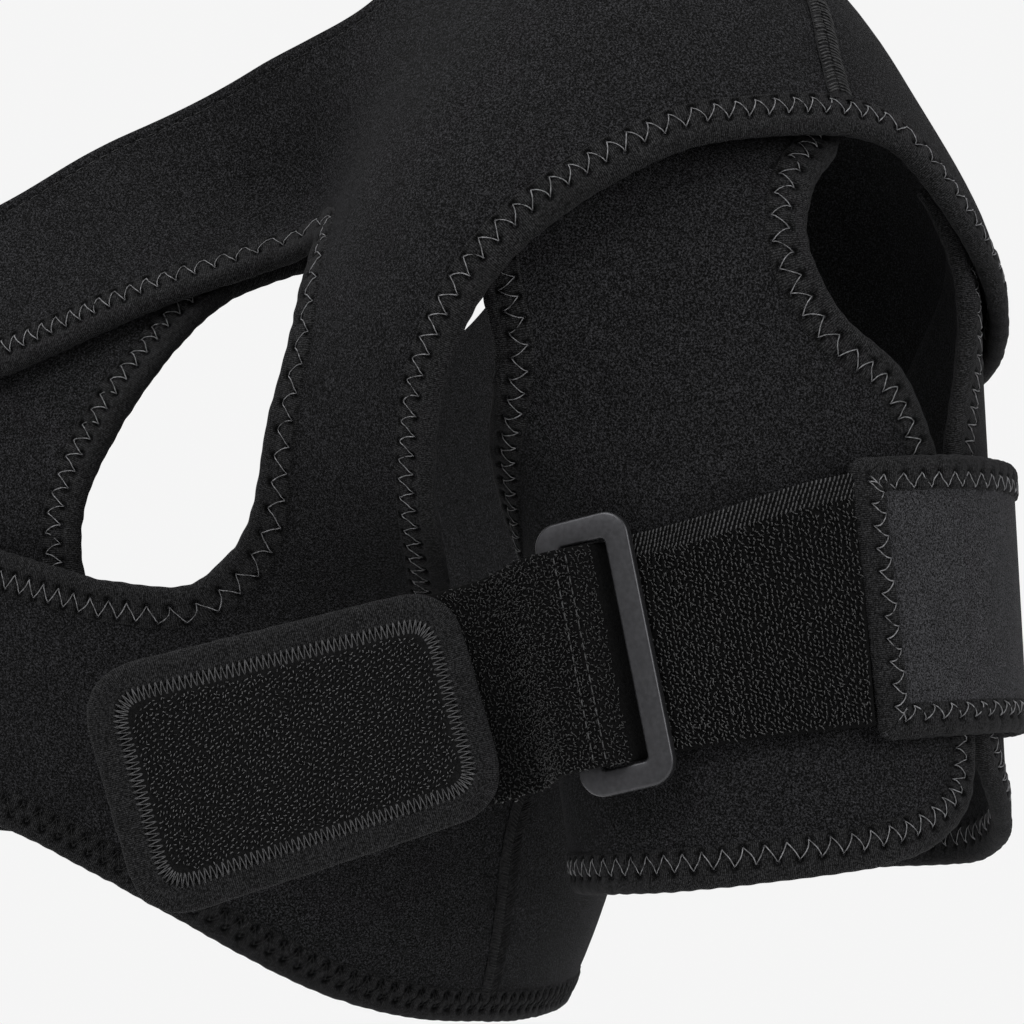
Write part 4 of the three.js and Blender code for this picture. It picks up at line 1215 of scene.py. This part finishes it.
# Webbing: from the base under the ring's outer bar, through the ring, over its inner bar, to the tab.
# Rows are (turn, drop, lift, lean, width) on the arm and (across, rise) in the ring.
WEBBING_ON_ARM = [
    (25.8, 70, 5.9, 0, 56), (36, 70.8, 5.6, 0.03, 54.5), (46, 72, 5.1, 0.06, 52.5),
    (56, 73.3, 4.7, 0.09, 50.5),
]
WEBBING_IN_RING = [
    (14, -3.4), (11.6, -2.95), (5.2, -2.95), (2.4, -0.7), (-2.2, 4.3), (-4.4, 4.7), (-12.6, 4.7),
]
ANCHOR_IN_RING = [(-12.4, -2.6), (-5.4, -2.5), (-4.5, -1.6), (-4.5, 1.6), (-5.4, 2.5), (-12.4, 2.5)]
ANCHOR_START, ANCHOR_FINISH = [(122, 3.4), (115, 3.3), (108, 3.6)], [(108, 6.4), (115, 5.2), (122, 5.1)]
ANCHOR, ANCHOR_THICK = 44, 1.2
WEB, WEB_THICK = 49.4, 2.0
RIBBON_STEP, SEWN_GAP = 0.8, 1.5
WEB_ENTERS, WEB_LEAVES = (5.0, -2.95), (-2.2, 4.3)


def lying(turn, drop, lift, lean, width):
    """Station of a strap that lies on the arm: middle, width direction and width."""
    swing = np.degrees(lean * width / 2 / (ARM_R0 + lift))
    low, high = on_arm(turn - swing, drop + width / 2, lift), on_arm(turn + swing, drop - width / 2, lift)
    return np.concatenate([on_arm(turn, drop, lift), unit(low - high), [width]])


def held(across, rise, width):
    """Station of a strap in the ring."""
    return np.concatenate([ring_centre + ring_across * across + ring_out * rise, ring_down, [width]])


def sewn(x):
    """Station of the webbing behind the tab."""
    behind = -(TAB_THICK / 2 + SEWN_GAP + WEB_THICK / 2)
    return np.concatenate([in_tab(np.array([x, 0.0]), behind), -tab_up, [WEB]])


def ribbon(stations):
    """Evenly spaced middles, width directions, normals and widths along a strap."""
    line = spline(np.array(stations), 40)
    s = lengths(line[:, :3])
    line = follow(line, s, np.linspace(0, s[-1], int(s[-1] / RIBBON_STEP)))
    middle, side, width = line[:, :3], unit(line[:, 3:6]), line[:, 6]
    return middle, side, unit(np.cross(np.gradient(middle, axis=0), side)), width


def strap_body(name, path, thick, mat, slot, stands_for):
    """Flat strap with rounded edges along a ribbon."""
    middle, side, n, width = path
    face = [(-1, 0.0), (-0.996, 0.6), (-0.985, 1)] + [(x, 1.0) for x in np.linspace(-0.9, 0.9, 15)]
    face = face + [(0.985, 1), (0.996, 0.6)]
    section = face + [(-x, -h) for x, h in face]
    rows = np.stack([middle + side * (width / 2 * x)[:, None] + n * (thick / 2 * h) for x, h in section], 1)
    count, size, _ = rows.shape
    caps = [list(range(size))[::-1], [(count - 1) * size + k for k in range(size)]]
    return build(name, rows.reshape(-1, 3), list(strip_faces(count, size)) + caps, mat, slot, stands_for)


web_path = ribbon(
    [lying(*row) for row in WEBBING_ON_ARM]
    + [held(across, rise, WEB) for across, rise in WEBBING_IN_RING]
    + [sewn(TAB_LONG / 2 + 8), sewn(TAB_LONG / 2 - 14)]
)
anchor_path = ribbon(
    [lying(turn, RING_AT[2], lift, RING_LEAN, ANCHOR) for turn, lift in ANCHOR_START]
    + [held(across, rise, ANCHOR) for across, rise in ANCHOR_IN_RING]
    + [lying(turn, RING_AT[2], lift, RING_LEAN, ANCHOR) for turn, lift in ANCHOR_FINISH]
)
cloth["strap_webbing"] = strap_body(
    "strap_webbing_ground", web_path, WEB_THICK - 0.3, BACKING, "loop_pile", ["strap_webbing"]
)
cloth["ring_anchor"] = strap_body(
    "ring_anchor_cloth", anchor_path, ANCHOR_THICK, BACKING, "loop_pile", ["ring_anchor"]
)
web_length = lengths(web_path[0])[-1]


def web_at(across, rise):
    """Length of webbing up to a place in the ring."""
    spot = ring_centre + ring_across * across + ring_out * rise
    nearest_row = np.argmin(np.linalg.norm(web_path[0] - spot, axis=1))
    return nearest_row * web_length / len(web_path[0])


ring_start, ring_end = web_at(*WEB_ENTERS), web_at(*WEB_LEAVES)


def on_web(along, across):
    """Middle, width direction, normal and running direction at places on the webbing."""
    middle, side, n, width = web_path
    s = lengths(middle)
    ahead = unit(np.gradient(middle, axis=0))
    m, w, up, fore = (follow(grid, s, along) for grid in (middle, side, n, ahead))
    wide = np.interp(along, s, width)
    return m + unit(w) * (across * wide / 2)[..., None], unit(w), unit(up), unit(fore)


def pile(name, span, edges, pitch, size, radius, wild):
    """Curly loops in rough rows on the webbing's outer face."""
    width = np.mean(web_path[3])
    rows = np.arange(span[0], span[1], pitch)
    columns = np.arange(edges[0], edges[1], 2 * pitch / width)
    u, v = np.meshgrid(rows, columns, indexing="ij")
    v = v + (np.arange(len(rows)) % 2)[:, None] * pitch / width
    u = u + rng.normal(0, 0.2 * wild * pitch, u.shape)
    v = v + rng.normal(0, 0.2 * wild * pitch, v.shape) * 2 / width
    p, w, up, fore = on_web(u.ravel(), v.ravel())
    count = len(p)
    turn = 1.2 + wild * rng.normal(0, 0.9, count)[:, None]
    way = (fore * np.cos(turn) + w * np.sin(turn))[:, None]
    cross = (w * np.cos(turn) - fore * np.sin(turn))[:, None]
    t = np.linspace(-0.35, np.pi + 0.35, 6)[None, :, None]
    grow = (size * rng.uniform(0.75, 1.25, count))[:, None, None]
    lean = rng.normal(0, 0.45, count)[:, None, None]
    up = up[:, None]
    arc = way * np.cos(t) * grow * 0.62 + up * np.sin(t) * grow + cross * lean * grow * np.sin(t)
    path = p[:, None] + up * (WEB_THICK / 2 - 0.25) + arc + cross * grow * 0.35 * np.sin(2 * t)
    points, faces = tubes(path, np.broadcast_to(cross, path.shape), radius)
    return build(name, points, faces, PILE, "loop_pile")


def selvage():
    """Woven edge of the webbing on the arm: short ribs in rows."""
    rows = np.arange(0.6, ring_start, 0.95)
    columns = np.linspace(-0.985, -0.82, 5)
    u, v = np.meshgrid(rows, columns, indexing="ij")
    u = u + 0.47 * (np.arange(5) % 2)[None, :]
    t = np.linspace(-1, 1, 5)
    along = u.ravel()[:, None] + 0.2 * t[None] + rng.normal(0, 0.05, (u.size, 1))
    across = v.ravel()[:, None] + 0.018 * t[None]
    p, _, up, _ = on_web(along, across)
    path = p + up * (WEB_THICK / 2 - 0.22 + 0.32 * np.cos(t * 1.3))[None, :, None]
    return build("webbing_selvage", *tubes(path, up, 0.2), SELVAGE, "loop_pile")


def cross_rows(name, spots):
    """Rows of stitches across the webbing."""
    paths, ups = [], []
    t = np.linspace(0, 1, 5)
    for along in spots:
        for v in np.arange(-0.93, 0.93, 0.1):
            p, _, up, _ = on_web(np.full(5, along), v + 0.075 * t)
            paths.append(p + up * (WEB_THICK / 2 + 0.42 - 0.6 * np.abs(2 * t - 1) ** 4)[:, None])
            ups.append(up)
    return build(name, *tubes(np.stack(paths), np.stack(ups), 0.17), SELVAGE, "loop_pile")


piles = [
    pile("webbing_pile_arm", (1.2, ring_start), (-0.8, 0.97), 1.05, 0.66, 0.17, 0.5),
    pile("webbing_pile_tab", (ring_end - 4, web_length - 10), (-0.97, 0.97), 0.86, 0.55, 0.115, 1.2),
    selvage(),
    cross_rows("webbing_fold_stitches", (ring_end + 1.0, ring_end + 3.6)),
]


# Studio, in metres: pale floor, soft light, camera at the photograph's angle.
FLOOR_CENTRE, FLOOR_RADIUS, FLOOR_LEVEL, FLOOR_SIDES = -0.12, 0.85, -0.42, 96
SKY = 0.915
TARGET = np.array([0.0043, -0.0456, -0.1453])
LENS, SENSOR, DISTANCE = 129.4, 36, 0.85
LIGHTS = {  # place, size, power
    "key": ((0.1, -1.2, 0.85), 0.7, 24),
    "fill": ((1.35, 0.15, 0.3), 0.8, 22),
    "top": ((-0.35, -0.3, 1.15), 0.9, 22),
}


def stand(name, data):
    obj = bpy.data.objects.new(name, data)
    bpy.context.scene.collection.objects.link(obj)
    return obj


def aim(look):
    """Turn that points a lamp along a direction."""
    flat = np.hypot(look[0], look[1])
    return (np.arctan2(flat, -look[2]), 0, np.arctan2(-look[0], look[1]))


def studio():
    mesh = bpy.data.meshes.new("floor")
    turn = np.arange(FLOOR_SIDES) * 2 * np.pi / FLOOR_SIDES
    x, y = FLOOR_CENTRE + FLOOR_RADIUS * np.cos(turn), FLOOR_RADIUS * np.sin(turn)
    rim = np.stack([x, y, np.full(FLOOR_SIDES, FLOOR_LEVEL)], -1)
    mesh.from_pydata(rim.tolist(), [], [list(range(FLOOR_SIDES))])
    mesh.materials.append(Finish("pale_floor", Base_Color=(0.86, 0.86, 0.86, 1), Roughness=0.9).mat)
    stand("floor", mesh)
    world = bpy.data.worlds.new("studio")
    bpy.context.scene.world = world
    world.use_nodes = True
    sky = world.node_tree.nodes["Background"]
    sky.inputs["Color"].default_value = (SKY, SKY, SKY, 1)
    sky.inputs["Strength"].default_value = 1.0
    view = bpy.context.scene.view_settings
    view.view_transform = "Standard"
    view.look = "None"
    for name, (spot, size, power) in LIGHTS.items():
        light = bpy.data.lights.new(name, "AREA")
        light.size = size
        light.energy = power
        lamp = stand(name, light)
        lamp.location = spot
        lamp.rotation_euler = aim(TARGET - np.array(spot))
    camera = bpy.data.cameras.new("camera")
    camera.sensor_width = SENSOR
    camera.lens = LENS
    eye = stand("camera", camera)
    eye.location = TARGET + view_out * DISTANCE
    eye.rotation_euler = (np.pi / 2, 0, VIEW_TURN)
    bpy.context.scene.camera = eye


studio()
